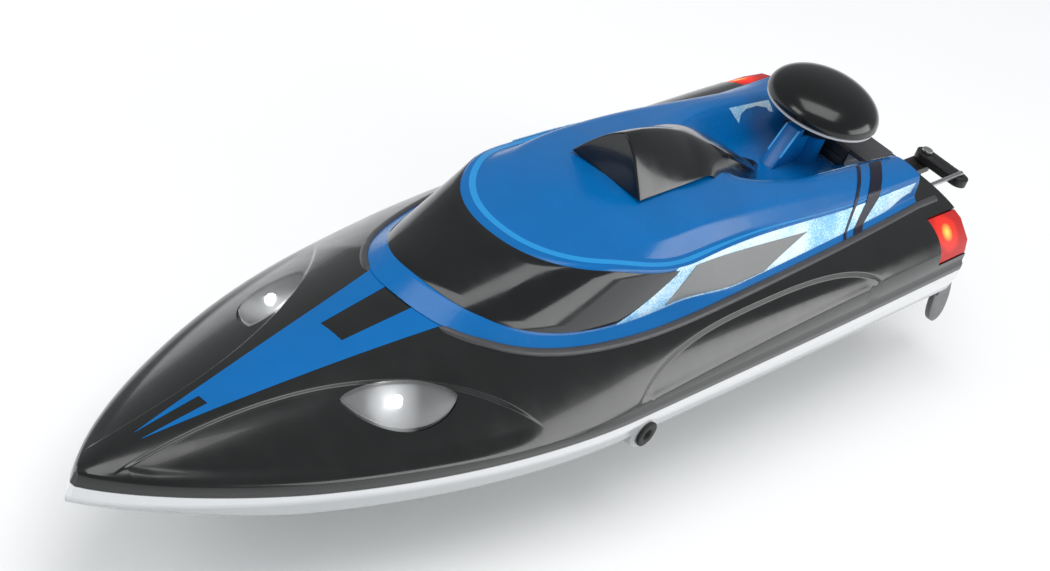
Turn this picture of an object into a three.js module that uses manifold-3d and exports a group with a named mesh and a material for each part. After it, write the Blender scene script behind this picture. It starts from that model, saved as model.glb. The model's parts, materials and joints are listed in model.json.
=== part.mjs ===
// Radio-controlled speedboat, 470 mm class, as an assembly of separate pieces.
// Millimetres, +X to the bow, +Y to port, +Z up. While the boat is being shaped, x = 0 is the transom
// and z = 0 the flat keel pad; the whole group is then moved so that its origin is the middle of the pad.
import * as THREE from "three";
import { mergeVertices } from "three/addons/utils/BufferGeometryUtils.js";
import Module from "manifold-3d";

const wasm = await Module();
wasm.setup();

// ---------------------------------------------------------------- driving dimensions
const LENGTH = 474; // transom to the tip of the stem
const MIDSHIP = 235; // distance of the part's origin from the transom
const BEAM = 65; // half-breadth at the joint of hull and deck
const STERN_BEAM = 63;
const PAD = 6; // half-width of the flat keel pad
const SKIN = 2.2; // wall of the moulded shells
const GAP = 0.3; // clearance between pieces that touch
// height of the hull and deck joint: highest at the stern, lowest at x = low.x, rising again to the bow
const JOINT = { stern: 41.4, low: { x: 390, z: 35.7 }, bow: 38.3 };
const RIM = 3.4; // upright rim at the top of the hull
const CHINE_IN = 1.5; // how far the chine lies inboard of the rim
const BAND = { aft: 4, fore: 5.7 }; // upright black band above the joint

const CANOPY_AFT = 21; // aft end of the canopy
const CANOPY_WALL = 1.8;
const WELL = { x0: 112, x1: 296, half: 36, round: 28, z: 67 }; // sunk part of the deck under the canopy
const OPENING = { x0: 132, x1: 268, half: 30.5, round: 14 }; // hatch opening in the deck
const COAMING = { wall: 2.2, top: 70 };
const HATCH_LIFT = 4; // travel that frees the hatch cover's plug

const SHAFT_ANGLE = THREE.MathUtils.degToRad(5); // drive line rises forward
const SHAFT = { x: -15, z: 9, r: 2 }; // centre of the propeller, and the shaft's radius
const PROP = { r: 15, hub: 4.5, length: 12, blades: 3 };
const MOTOR = { from: 128, length: 38, r: 13.9 }; // measured along the drive line from the propeller
const STEER = { x: -37, y: 13, arm: 17.5, rodZ: 58, armZ: 53.4 }; // rudder axis, tiller radius and heights
const SERVO = { axis: 39.5, x0: 33, x1: 56, half: 6, z0: 29, z1: 51.4 };
const ROD_R = 1;
const DOME = { x: 54, z: 92, r: 23.5, rise: 12.5, rim: 1.6 };
const OUTLET = { x: 223, y: 63.2, z: 28.5 };

// ---------------------------------------------------------------- small maths
const clamp = (v, lo = 0, hi = 1) => Math.min(hi, Math.max(lo, v));
const mix = (a, b, t) => a + (b - a) * t;
const smooth = (v, lo, hi) => {
  const t = clamp((v - lo) / (hi - lo));
  return t * t * (3 - 2 * t);
};
const steps = (a, b, n) => Array.from({ length: n + 1 }, (_, i) => mix(a, b, i / n));

// ---------------------------------------------------------------- hull and deck lines
const beamAt = (x) =>
  x < 235
    ? BEAM - (BEAM - STERN_BEAM) * (1 - clamp(x / 160)) ** 2
    : BEAM * (1 - clamp((x - 235) / (LENGTH - 234.8)) ** 1.75) ** 0.8;
const jointAt = (x) =>
  mix(JOINT.stern, JOINT.low.z, smooth(x, 0, JOINT.low.x)) +
  (JOINT.bow - JOINT.low.z) * clamp((x - JOINT.low.x) / (LENGTH - JOINT.low.x)) ** 1.3;
// the side below the joint is deepest at the stern and shallow at the stem
const sideDepthAt = (x) => mix(11.3, 8.9, x / LENGTH) - 3.5 * smooth(x, JOINT.low.x, LENGTH);
const chineAt = (x) => jointAt(x) - sideDepthAt(x);
const keelAt = (x) => chineAt(x) * 0.96 * clamp((x - 280) / 194) ** 2.2;

// height of the crown on the centreline, as it would run on under the canopy
const crownAt = (x) => {
  const foredeck = 43 + 31 * clamp((LENGTH - x) / 174, 0, 1) ** 0.8;
  return x > 300 ? foredeck : mix(66, foredeck, smooth(x, 60, 300));
};
const bandAt = (x) => mix(BAND.aft, BAND.fore, smooth(x, 250, 360));
const deckAt = (x, y) => {
  const fore = smooth(x, 60, 340);
  const foot = jointAt(x) + bandAt(x);
  const across = clamp(Math.abs(y) / (beamAt(x) - 1), 0, 1);
  return foot + (crownAt(x) - foot) * (1 - across ** mix(4, 2, fore)) ** mix(0.37, 1, fore);
};

// ---------------------------------------------------------------- solids and meshes
function manifoldOf(geometry) {
  const bare = geometry.index ? geometry.toNonIndexed() : geometry.clone();
  const clean = new THREE.BufferGeometry().setAttribute("position", bare.getAttribute("position"));
  const merged = mergeVertices(clean, 1e-3);
  return new wasm.Manifold(
    new wasm.Mesh({
      numProp: 3,
      vertProperties: merged.attributes.position.array,
      triVerts: new Uint32Array(merged.index.array),
    }),
  );
}

function geometryOf(solid) {
  const mesh = solid.getMesh();
  const positions = new Float32Array(mesh.numVert * 3);
  for (let i = 0; i < mesh.numVert; i++) {
    positions.set(mesh.vertProperties.subarray(i * mesh.numProp, i * mesh.numProp + 3), i * 3);
  }
  return new THREE.BufferGeometry()
    .setAttribute("position", new THREE.BufferAttribute(positions, 3))
    .setIndex(new THREE.BufferAttribute(new Uint32Array(mesh.triVerts), 1));
}

// The main body of a cut solid, without the slivers that a boolean can leave beside it.
function mainBody(solid) {
  const bodies = solid.decompose();
  return bodies.reduce((best, body) => (body.volume() > best.volume() ? body : best));
}

// A closed solid through rings of equal length. Each end is closed by a fan about its own middle, or
// about a point at height capZ; closeStart is false where the first ring has collapsed to a line.
function loft(rings, closeStart = true, capZ = null) {
  const size = rings[0].length;
  const points = rings.flat().map((p) => [...p]);
  const faces = [];
  const quad = (a, b, c, d) => faces.push([a, b, c], [a, c, d]);
  for (let r = 0; r + 1 < rings.length; r++) {
    for (let i = 0; i < size; i++) {
      const j = (i + 1) % size;
      quad(r * size + i, r * size + j, (r + 1) * size + j, (r + 1) * size + i);
    }
  }
  const cap = (start, turn) => {
    const ring = points.slice(start, start + size);
    const mean = (k) => ring.reduce((sum, p) => sum + p[k], 0) / size;
    const middle = points.length;
    points.push([mean(0), mean(1), capZ ?? mean(2)]);
    for (let i = 0; i < size; i++) {
      const j = (i + 1) % size;
      faces.push(turn ? [middle, start + j, start + i] : [middle, start + i, start + j]);
    }
  };
  if (closeStart) cap(0, true);
  cap((rings.length - 1) * size, false);
  let volume = 0;
  for (const [a, b, c] of faces) {
    const [p, q, s] = [points[a], points[b], points[c]].map((v) => new THREE.Vector3(...v));
    volume += p.dot(q.cross(s));
  }
  const outward = volume > 0 ? faces : faces.map(([a, b, c]) => [a, c, b]);
  const geometry = new THREE.BufferGeometry()
    .setAttribute("position", new THREE.Float32BufferAttribute(points.flat(), 3))
    .setIndex(outward.flat());
  return manifoldOf(dropFlat(geometry));
}

// Leaves out triangles that have collapsed to a line or a point.
function dropFlat(geometry) {
  const merged = mergeVertices(geometry, 1e-3);
  const index = merged.index.array;
  const kept = [];
  for (let i = 0; i < index.length; i += 3) {
    const [a, b, c] = [index[i], index[i + 1], index[i + 2]];
    if (a !== b && b !== c && c !== a) kept.push(a, b, c);
  }
  return merged.setIndex(kept);
}

const moved = (geometry, x, y, z) => geometry.translate(x, y, z);
const box = (x0, x1, y0, y1, z0, z1) =>
  moved(
    new THREE.BoxGeometry(x1 - x0, y1 - y0, z1 - z0),
    (x0 + x1) / 2,
    (y0 + y1) / 2,
    (z0 + z1) / 2,
  );
const blank = (...sides) => manifoldOf(box(...sides));

// A prism standing along z on an outline drawn in x and y.
function upright(outline, z0, z1, holes = []) {
  const corners = () => outline.map(([x, y]) => new THREE.Vector2(x, y));
  const shape = outline instanceof THREE.Shape ? outline : new THREE.Shape(corners());
  shape.holes.push(...holes);
  const options = { depth: z1 - z0, bevelEnabled: false, curveSegments: 6 };
  const geometry = new THREE.ExtrudeGeometry(shape, options);
  return moved(geometry, 0, 0, z0);
}

// A plate in the x and z plane, from y0 to y1.
function sidePlate(outline, y0, y1) {
  const geometry = upright(outline, 0, y1 - y0);
  geometry.rotateX(Math.PI / 2); // drawn x, z now lie in the x, z plane and the depth runs to -y
  return moved(geometry, 0, y1, 0);
}

// A plate in the y and z plane, from x0 to x1.
function crossPlate(outline, x0, x1) {
  const geometry = upright(outline, 0, x1 - x0);
  geometry.rotateX(Math.PI / 2).rotateZ(Math.PI / 2);
  return moved(geometry, x0, 0, 0);
}

// A turned piece on the z axis: the profile is a list of [radius, height] closed on itself or on the axis.
const turned = (profile, segments = 20) =>
  new THREE.LatheGeometry(profile.map(([r, h]) => new THREE.Vector2(r, h)), segments).rotateX(Math.PI / 2);
const rod = (r, z0, z1, segments = 14) => turned([[0, z0], [r, z0], [r, z1], [0, z1]], segments);
const sleeve = (inner, outer, z0, z1, segments = 20) =>
  turned([[inner, z0], [outer, z0], [outer, z1], [inner, z1], [inner, z0]], segments);

// A round-cornered rectangle in plan.
function stadium(x0, x1, half, round, Kind = THREE.Shape) {
  const path = new Kind();
  path.moveTo(x0 + round, -half);
  path.lineTo(x1 - round, -half);
  path.absarc(x1 - round, -half + round, round, -Math.PI / 2, 0);
  path.lineTo(x1, half - round);
  path.absarc(x1 - round, half - round, round, 0, Math.PI / 2);
  path.lineTo(x0 + round, half);
  path.absarc(x0 + round, half - round, round, Math.PI / 2, Math.PI);
  path.lineTo(x0, -half + round);
  path.absarc(x0 + round, -half + round, round, Math.PI, 1.5 * Math.PI);
  return path;
}

// A round hose or wire of radius r along a smooth curve through points.
function hose(points, r, count, sides = 8) {
  const curve = new THREE.CatmullRomCurve3(points.map((p) => new THREE.Vector3(...p)), false, "centripetal");
  const ring = new THREE.Shape();
  for (let i = 0; i < sides; i++) {
    const angle = (2 * Math.PI * i) / sides;
    const [u, v] = [r * Math.cos(angle), r * Math.sin(angle)];
    if (i) ring.lineTo(u, v);
    else ring.moveTo(u, v);
  }
  return new THREE.ExtrudeGeometry(ring, { steps: count, extrudePath: curve, bevelEnabled: false });
}

// ---------------------------------------------------------------- materials
const finish = (color, roughness, metalness = 0) => ({ color, roughness, metalness });
const LOOKS = {
  whiteShell: finish(0xe9ebec, 0.28),
  blackGloss: finish(0x0d100f, 0.16),
  blackSatin: finish(0x1a1c1d, 0.45),
  blue: finish(0x0068b8, 0.18),
  grey: finish(0x77797b, 0.35),
  lightGrey: finish(0xb9bbbc, 0.4),
  clear: finish(0xdfe6ea, 0.05),
  red: finish(0xd62a1e, 0.15),
  chrome: finish(0xd8dadc, 0.12, 1),
  steel: finish(0xb6b9bd, 0.28, 1),
  brass: finish(0xc9a14a, 0.3, 1),
  rubber: finish(0x202122, 0.8),
  silicone: finish(0xcfd8dc, 0.5),
  board: finish(0x1f6b43, 0.5),
  cell: finish(0x2f3c8f, 0.4),
};

const boat = new THREE.Group();
boat.name = "rc_boat";
boat.position.x = -MIDSHIP;

function add(name, shape, look, parent = boat) {
  const geometry = shape.isBufferGeometry ? shape : geometryOf(shape);
  const mesh = new THREE.Mesh(geometry, new THREE.MeshStandardMaterial(LOOKS[look]));
  mesh.name = name;
  parent.add(mesh);
  return mesh;
}

const SIDES = [
  ["port", 1],
  ["starboard", -1],
];
const mirrored = (geometry, side) => {
  const solid = geometry.isBufferGeometry ? manifoldOf(geometry) : geometry;
  return side > 0 ? solid : solid.mirror([0, 1, 0]);
};

// ---------------------------------------------------------------- hull
const STATIONS = [...steps(0, 220, 5), ...steps(262, 422, 5), 440, 454, 464, 470, LENGTH - 0.6];
const wrap = (half) => [...half, ...half.slice(0, -1).reverse().map(([x, y, z]) => [x, -y, z])];

// One section of the hull, from the port rim down to the keel pad; inset gives the inside of the skin.
function hullRing(x, inset) {
  const [b, top, chine, keel] = [beamAt(x), jointAt(x), chineAt(x), keelAt(x)];
  const narrow = clamp(b / 20);
  const pad = Math.min(PAD, b * 0.2);
  const foot = Math.max(b - CHINE_IN * narrow - inset, 0.4);
  const lift = inset * 1.1;
  const half = [
    [x, Math.max(b - inset, 0.5), inset ? top + 5 : top],
    [x, Math.max(b - inset, 0.5), top - RIM],
    [x, foot, chine + lift * 0.6],
    [x, mix(pad, foot, 0.5), mix(keel, chine, 0.44) + lift],
    [x, Math.max(pad - inset * 0.4, 0.2), keel + lift],
  ];
  return [...half, ...half.map(([px, py, pz]) => [px, -py, pz]).reverse()];
}

const shaftPoint = (along) => [
  SHAFT.x + along * Math.cos(SHAFT_ANGLE),
  0,
  SHAFT.z + along * Math.sin(SHAFT_ANGLE),
];
// Lays a piece turned on the z axis along the drive line, its z = 0 at the propeller's centre.
const onShaft = (geometry) => {
  geometry.rotateY(Math.PI / 2 - SHAFT_ANGLE);
  return moved(geometry, SHAFT.x, 0, SHAFT.z);
};

const TUBE = { inner: SHAFT.r + GAP, outer: 3.6, from: 10, to: 92 };

// Lays a piece turned on the z axis across the hull at the water outlet, its z = 0 at the hull's side.
const onOutlet = (geometry) => moved(geometry.rotateX(-Math.PI / 2), OUTLET.x, OUTLET.y, OUTLET.z);
const outletBoss = manifoldOf(onOutlet(rod(7, -4, 1.6, 20)));
const hullBody = loft(STATIONS.map((x) => hullRing(x, 0))).add(outletBoss);
const hullInside = loft([SKIN, ...STATIONS.filter((x) => x > 20 && x < 455)].map((x) => hullRing(x, SKIN)));
const shaftHole = manifoldOf(onShaft(rod(TUBE.outer + GAP, -20, 60)));
const outletHole = manifoldOf(onOutlet(rod(3.9, -12, 12, 16)));
const inletHole = manifoldOf(moved(rod(2.4, -10, 14), 62, 20, 6));
const contactHole = (side) => manifoldOf(moved(rod(2.6, -6, 14, 10), 176, side * 9, 3));
const hull = hullBody
  .subtract(hullInside)
  .subtract(shaftHole)
  .subtract(outletHole)
  .subtract(inletHole)
  .subtract(contactHole(1))
  .subtract(contactHole(-1));
add("hull_shell", hull, "whiteShell");

// ---------------------------------------------------------------- deck
const DECK_ACROSS = [0.97, 0.86, 0.72, 0.56, 0.36, 0.16];
function deckRing(x, inset) {
  const b = beamAt(x);
  const foot = jointAt(x) + GAP;
  const side = Math.max(b - inset, 0.4);
  const half = [
    [x, side, inset ? foot - 5 : foot],
    [x, Math.max(side - 0.5, 0.35), foot + bandAt(x) - GAP - inset * 0.5],
  ];
  for (const part of DECK_ACROSS) {
    half.push([x, Math.max(part * (b - 1) - inset * part, 0.05), deckAt(x, part * (b - 1)) - inset]);
  }
  half.push([x, 0, deckAt(x, 0) - inset]);
  return wrap(half);
}

const deckOuter = loft(STATIONS.map((x) => deckRing(x, 0)));
const deckInner = loft([SKIN, ...STATIONS.filter((x) => x > 20 && x < 456)].map((x) => deckRing(x, SKIN)));
const well = (z) => manifoldOf(upright(stadium(WELL.x0, WELL.x1, WELL.half, WELL.round), z, 90));
const deckBody = deckOuter.subtract(well(WELL.z));
const deckInside = deckInner.subtract(well(WELL.z - SKIN));
const opening = manifoldOf(upright(stadium(OPENING.x0, OPENING.x1, OPENING.half, OPENING.round), 40, 90));
const coaming = manifoldOf(
  upright(
    stadium(
      OPENING.x0 - COAMING.wall,
      OPENING.x1 + COAMING.wall,
      OPENING.half + COAMING.wall,
      OPENING.round + COAMING.wall,
    ),
    60,
    COAMING.top,
    [stadium(OPENING.x0, OPENING.x1, OPENING.half, OPENING.round, THREE.Path)],
  ),
);

// Headlight: a half-moon pocket in the foredeck, drawn in plan on the port side.
const HEADLIGHT = { x: 345.5, y: 30, long: 25, wide: 9.5, inboard: 0.5, turn: -0.33, depth: 7 };
function headlightPlan(grow) {
  const shape = new THREE.Shape();
  const count = 16;
  for (let i = 0; i < count; i++) {
    const angle = (2 * Math.PI * i) / count;
    const fullness = Math.sin(angle) > 0 ? 1 : HEADLIGHT.inboard;
    const u = (HEADLIGHT.long + grow) * Math.cos(angle);
    const bulge = Math.sign(Math.sin(angle)) * Math.abs(Math.sin(angle)) ** 1.4;
    const v = HEADLIGHT.wide * fullness * bulge + grow * Math.sin(angle);
    const x = HEADLIGHT.x + u * Math.cos(HEADLIGHT.turn) - v * Math.sin(HEADLIGHT.turn);
    const y = HEADLIGHT.y + u * Math.sin(HEADLIGHT.turn) + v * Math.cos(HEADLIGHT.turn);
    if (i) shape.lineTo(x, y);
    else shape.moveTo(x, y);
  }
  return shape;
}
const headlightColumn = (grow, z0, z1) => manifoldOf(upright(headlightPlan(grow), z0, z1));

// Tail light: the lens fills the corner of deck and transom from the joint up to the shoulder.
const TAIL = { x1: 22, y0: 49, z0: 49, z1: 66 };
const tailCorner = (grow) => blank(-1, TAIL.x1 + grow, TAIL.y0 - grow, 70, TAIL.z0 - grow, 80);
const tailPocket = tailCorner(GAP).add(tailCorner(GAP).mirror([0, 1, 0]));
const tailFloor = (side) => mirrored(
  box(SKIN * 0.2, TAIL.x1 + SKIN + GAP, TAIL.y0 - SKIN - GAP, 61, TAIL.z0 - SKIN - GAP, TAIL.z1 - 4),
  side,
);

// Keepers: two hooks outside the coaming that the hatch's turn latches slide under.
const KEEPER_X = 200;
const KEEPER_PROFILE = [[36, 64], [37.8, 64], [37.8, 76.8], [34.4, 76.8], [34.4, 75.2], [36, 75.2]];
const keeper = (side) => mirrored(crossPlate(KEEPER_PROFILE, KEEPER_X - 6, KEEPER_X + 6), side);

const lowered = (solid, by) => solid.translate([0, 0, -by]);
// The rod swings this far sideways as the tiller turns, so its boot stands half of that inboard of it.
const ROD_SWAY = STEER.arm * (1 - Math.cos(Math.PI / 6));
const ROD_Y = STEER.y + STEER.arm;
const BOOT = { y: ROD_Y - ROD_SWAY / 2, inner: 2.6, outer: 4.2 };
const onBoot = (geometry) => moved(geometry.rotateY(Math.PI / 2), 0, BOOT.y, STEER.rodZ);
const bootHole = manifoldOf(onBoot(rod(BOOT.outer + GAP, -8, 8)));
const lampBezel = (side) => {
  const ring = headlightColumn(GAP + SKIN, 30, 90).subtract(headlightColumn(GAP, 20, 100));
  return mirrored(ring.intersect(deckBody).subtract(lowered(deckBody, HEADLIGHT.depth)), side);
};
let deck = deckBody.subtract(deckInside).subtract(opening).add(coaming);
for (const [, side] of SIDES) {
  deck = deck.subtract(mirrored(headlightColumn(GAP, 20, 100), side));
  deck = deck.add(mirrored(tailFloor(1).intersect(deckBody), side)).add(keeper(side)).add(lampBezel(side));
}
const catchSlot = blank(DOME.x - 13.2, DOME.x + 13.2, -3.6, 3.6, 50, 80);
deck = deck.subtract(tailPocket).subtract(bootHole).subtract(catchSlot);
add("deck_shell", mainBody(deck), "blackGloss");

for (const [name, side] of SIDES) {
  const skin = deckBody.subtract(lowered(deckBody, 1.6));
  add(`headlight_lens_${name}`, mirrored(headlightColumn(0, 30, 90).intersect(skin), side), "clear");
  const bowl = headlightColumn(-0.4, 30, 90)
    .intersect(lowered(deckBody, 2.1))
    .subtract(lowered(deckBody, HEADLIGHT.depth));
  add(`headlight_reflector_${name}`, mirrored(bowl, side), "chrome");
  const lens = tailCorner(0).intersect(deckBody).intersect(blank(0, TAIL.x1, 40, 70, TAIL.z0, 80));
  const hollow = blank(2, TAIL.x1 + 1, TAIL.y0 - 1, 55, TAIL.z0 + 2, TAIL.z1 - 8);
  add(`tail_light_lens_${name}`, mirrored(lens.subtract(hollow), side), "red");
}

// ---------------------------------------------------------------- canopy
// The canopy's feature lines, from its bottom edge to the centreline. Each starts at the front centre,
// runs round a superelliptic front to x0, and then aft along the side. t = 0 is the front centre,
// T_SIDE the start of the side and 1 the aft end.
const T_SIDE = 0.5;
const LINES = {
  edge: { x0: 187, reach: 132.3, half: 48.5, power: 2.3 },
  sill: { x0: 200, reach: 111, half: 43, power: 2.4 },
  knuckle: { x0: 195, reach: 76.5, half: 42, power: 2.2 },
  rim: { x0: 195, reach: 70.8, half: 37.5, power: 2.2 },
  shoulder: { x0: 190, reach: 60, half: 33, power: 2.1 },
  crease: { x0: 185, reach: 45, half: 15.5, power: 2 },
  foot: { x0: 180, reach: 33, half: 8, power: 2 },
  centre: { x0: 175, reach: 28, half: 0, power: 2 },
};
const edgeHalf = (x) => 48.5 - 7 * clamp((187 - x) / 165) ** 1.6;
const AFT_HALF = {
  edge: edgeHalf,
  sill: (x) => edgeHalf(x) - mix(2.3, 5.4, smooth(x, 160, 200)),
  knuckle: (x) => 38.3 + 3.7 * smooth(x, 125, 195),
  rim: (x) => 37.3 + 0.2 * smooth(x, 125, 195),
  shoulder: () => 33,
  crease: (x) => 15 + 10 * (1 - smooth(x, 85, 180)),
  foot: (x) => 8 + 5 * (1 - smooth(x, 100, 170)),
  centre: () => 0,
};
const TROUGH_Z = 70;
const troughAt = (x) => TROUGH_Z + 26 * smooth(x, 95, 160);
const HEIGHT = {
  edge: (x, y) => deckAt(x, y) + GAP + 0.1,
  sill: (x, y, t) => deckAt(x, edgeAt(t)[1]) + mix(4.2, 2.4, smooth(t, 0.5, 0.61)),
  knuckle: (x, y, t) =>
    t < T_SIDE ? 88 - 5.5 * smooth(t, 0.28, T_SIDE) : 73.7 + 8.8 * smooth(x, 60, 180),
  rim: (x, y, t) => HEIGHT.knuckle(x, y, t) + mix(0.8, 2.4, smooth(t, T_SIDE, 0.7)),
  shoulder: (x, y, t) => (t < T_SIDE ? 91.5 : 77 + 14.5 * smooth(x, 10, 190)),
  crease: (x) => Math.min(95.4, 78 + 0.1115 * (x - 27)),
  foot: (x, y, t) => (t < T_SIDE ? 96.2 : troughAt(x)),
  centre: (x, y, t) => (t < T_SIDE ? 96.6 : troughAt(x) - 0.4),
};
function planAt(name, t) {
  const { x0, reach, half, power } = LINES[name];
  if (t < T_SIDE) {
    const angle = (t / T_SIDE) * (Math.PI / 2);
    return [x0 + reach * Math.cos(angle) ** (2 / power), half * Math.sin(angle) ** (2 / power)];
  }
  const x = mix(x0, CANOPY_AFT, (t - T_SIDE) / (1 - T_SIDE));
  return [x, AFT_HALF[name](x)];
}
const edgeAt = (t) => planAt("edge", t);
function linePoint(name, t) {
  const [x, y] = planAt(name, t);
  return [x, y, HEIGHT[name](x, y, t)];
}

// How far each feature line of the inside lies in from the outside, along y and z.
const WALL_SHIFT = {
  edge: [2.2, 8],
  sill: [2.2, 0.8],
  knuckle: [1.8, 1.6],
  rim: [1.4, 2],
  shoulder: [1, 1.9],
  crease: [-0.6, 2],
  foot: [-1.2, 1.9],
  centre: [0, 1.9],
};
function canopyRing(t, inside) {
  const half = Object.keys(LINES).map((name) => {
    const [x, y, z] = linePoint(name, t);
    if (!inside) return [x, y, z];
    const [dy, dz] = WALL_SHIFT[name];
    const round = Math.min(1, y / 6);
    const back = t < T_SIDE ? 2.4 * (1 - t / T_SIDE) : -CANOPY_WALL * smooth(t, 0.9, 1);
    return [x - back, Math.max(0, y - dy * round), z - dz];
  });
  return wrap(half);
}
const COLUMNS = [...steps(0, T_SIDE, 8), ...steps(T_SIDE, 1, 8).slice(1)];
const canopyBody = loft(COLUMNS.map((t) => canopyRing(t, false)), false, 66);
const canopyInside = loft(COLUMNS.map((t) => canopyRing(t, true)), false, 64);

// A point on the canopy's side, v from the sill (0) to the knuckle (1), out along the surface's normal.
function sidePoint(t, v, out) {
  const at = (tt, vv) => {
    const low = new THREE.Vector3(...linePoint("sill", Math.abs(tt)));
    const high = new THREE.Vector3(...linePoint("knuckle", Math.abs(tt)));
    const p = low.lerp(high, vv);
    return tt < 0 ? p.setY(-p.y) : p;
  };
  const step = 0.004;
  const alongT = at(t + step, v).sub(at(t - step, v));
  const alongV = at(t, 1).sub(at(t, 0));
  const normal = alongT.cross(alongV).normalize();
  const p = at(t, v);
  const spine = new THREE.Vector3(Math.min(p.x, LINES.edge.x0), 0, TROUGH_Z);
  if (normal.dot(p.clone().sub(spine)) < 0) normal.negate();
  p.addScaledVector(normal, out);
  return [p.x, p.y, p.z];
}
// A curved panel whose lower and upper borders are functions of w, each giving [t, v].
function panel(stations, lower, upper, outside, inside) {
  const rings = stations.map((w) => {
    const [low, high] = [lower(w), upper(w)];
    return [
      sidePoint(...low, outside),
      sidePoint(...high, outside),
      sidePoint(...high, inside),
      sidePoint(...low, inside),
    ];
  });
  return loft(rings);
}
const GLASS_T = 0.468; // where the windshield's aft corner ends on each side
const GLASS_RISE_T = 0.415; // where its foot starts to climb towards that corner
const GLASS_STATIONS = steps(-GLASS_T, GLASS_T, 24);
const glassFoot = (w) => {
  const climb = clamp((Math.abs(w) - GLASS_RISE_T) / (GLASS_T - GLASS_RISE_T));
  return 0.03 + 0.8 * climb ** 1.4;
};
const widened = (stations, by) =>
  by ? [stations[0] - by, ...stations, stations.at(-1) + by] : stations;
const windshieldPanel = (grow, outside, inside) =>
  panel(
    widened(GLASS_STATIONS, grow * 0.005),
    (w) => [w, glassFoot(clamp(w, -GLASS_T, GLASS_T)) - grow * 0.04],
    (w) => [w, 0.94 + grow * 0.02],
    outside,
    inside,
  );
// Side window: a four-cornered pane; each corner is a [t, v] on the canopy's side.
const WINDOW = {
  lower: { fore: [0.488, 0.06], aft: [0.661, 0.03] },
  upper: { fore: [0.503, 0.92], aft: [0.748, 0.66] },
};
const onBorder = ({ fore, aft }, w, rise) => [mix(fore[0], aft[0], w), mix(fore[1], aft[1], w) + rise];
const windowPanel = (grow, outside, inside) =>
  panel(
    widened(steps(0, 1, 6), grow * 0.02),
    (w) => onBorder(WINDOW.lower, w, -grow * 0.03),
    (w) => onBorder(WINDOW.upper, w, grow * 0.03),
    outside,
    inside,
  );

// Roof scoop: a pointed arch that tapers aft to a low tail over the trough.
const SCOOP = { front: 208, aft: 90, half: 17, peak: 115, tail: 71.5, wall: 1.6 };
function scoopRing(x, inset) {
  const u = (SCOOP.front - x) / (SCOOP.front - SCOOP.aft);
  const half = Math.max(SCOOP.half * (1 - u ** 3.2) ** 0.55, 2.5) - inset;
  const roof = x > 160 ? 96.4 : troughAt(x) + 0.5;
  const foot = mix(roof + 0.8, mix(95, 72, u ** 1.4), smooth(u, 0.3, 0.6));
  const top = Math.max(mix(SCOOP.peak, SCOOP.tail, u ** 1.52), foot + 2);
  return steps(-1, 1, 10).map((across, i, all) => {
    const isFoot = i === 0 || i === all.length - 1;
    const sunk = inset && isFoot ? 4 : 0; // the inside runs on below the hood's feet
    const height = (top - inset - foot) * (1 - Math.abs(across) ** 1.4);
    return [x, -Math.max(half, 0.4) * across, foot + height - sunk];
  });
}
const SCOOP_STATIONS = [...steps(SCOOP.front, 120, 6), 108, 98, SCOOP.aft];
const scoopBody = loft(SCOOP_STATIONS.map((x) => scoopRing(x, 0)));
const scoopInside = loft(
  SCOOP_STATIONS.filter((x) => x > 125).map((x) => scoopRing(x - 1.6, SCOOP.wall)),
);
const raised = (solid, by) => solid.translate([0, 0, by]);
const overDeck = raised(deckOuter, GAP);
let cover = canopyBody
  .subtract(canopyInside)
  .subtract(overDeck)
  .subtract(windshieldPanel(1, 4, -6));
for (const [, side] of SIDES) cover = cover.subtract(mirrored(windowPanel(1, 4, -6), side));

// The cover's turn knob stands on a stem that passes through a pedestal on the trough's floor.
const PEDESTAL = { r: 7, top: 82 };
const STEM_R = 3;
const pedestal = manifoldOf(moved(rod(PEDESTAL.r, TROUGH_Z - 1, PEDESTAL.top, 20), DOME.x, 0, 0));
const stemHole = manifoldOf(moved(rod(STEM_R + GAP, 50, 95, 16), DOME.x, 0, 0));
// A flat-sided pylon stands ahead of the pedestal and props up the front of the dome.
const PYLON = {
  half: 3.3,
  profile: [
    [DOME.x, TROUGH_Z - 1],
    [80, TROUGH_Z - 1],
    [76.3, 75],
    [70.8, 86],
    [66.6, 86],
    [66.6, PEDESTAL.top],
    [DOME.x, PEDESTAL.top],
  ],
};
const pylon = manifoldOf(sidePlate(PYLON.profile, -PYLON.half, PYLON.half));
cover = cover.add(pedestal).add(pylon).subtract(stemHole);
add("canopy_cover", mainBody(cover), "blue");
add("windshield", windshieldPanel(0, -0.1, -1.8), "blackGloss");
for (const [name, side] of SIDES) {
  add(`side_window_${name}`, mirrored(windowPanel(0, -0.1, -1.8), side), "grey");
}
add("roof_scoop", scoopBody.subtract(scoopInside).subtract(raised(canopyBody, GAP)), "blackGloss");

const sternPanel = blank(23.5, 43, -23.5, 23.5, 76.4, 78.4).subtract(raised(canopyBody, GAP));
add("stern_panel", mainBody(sternPanel), "blackSatin");

// ---------------------------------------------------------------- the cover's knob
const atKnob = (geometry) => moved(geometry, DOME.x, 0, 0);
const domeFoot = DOME.z - DOME.rim;
const domeProfile = [
  [0, DOME.z + GAP],
  ...steps(0, Math.PI / 2, 7).map((a) => [
    (DOME.r - 0.4) * Math.cos(a) ** 0.9,
    DOME.z + GAP + 0.8 + (DOME.rise - 0.8) * Math.sin(a),
  ]),
];
domeProfile.splice(1, 0, [DOME.r - 0.4, DOME.z + GAP]);
add("dome_cap", atKnob(turned(domeProfile, 32)), "blackGloss");
add("dome_rim", atKnob(rod(DOME.r, domeFoot, DOME.z, 32)), "lightGrey");
const collarProfile = [
  [0, PEDESTAL.top + GAP],
  [9, PEDESTAL.top + GAP],
  [11, domeFoot - GAP],
  [0, domeFoot - GAP],
];
const collar = manifoldOf(atKnob(turned(collarProfile, 20)));
const stem = manifoldOf(atKnob(rod(STEM_R, 58, PEDESTAL.top + 2, 16)));
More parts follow.
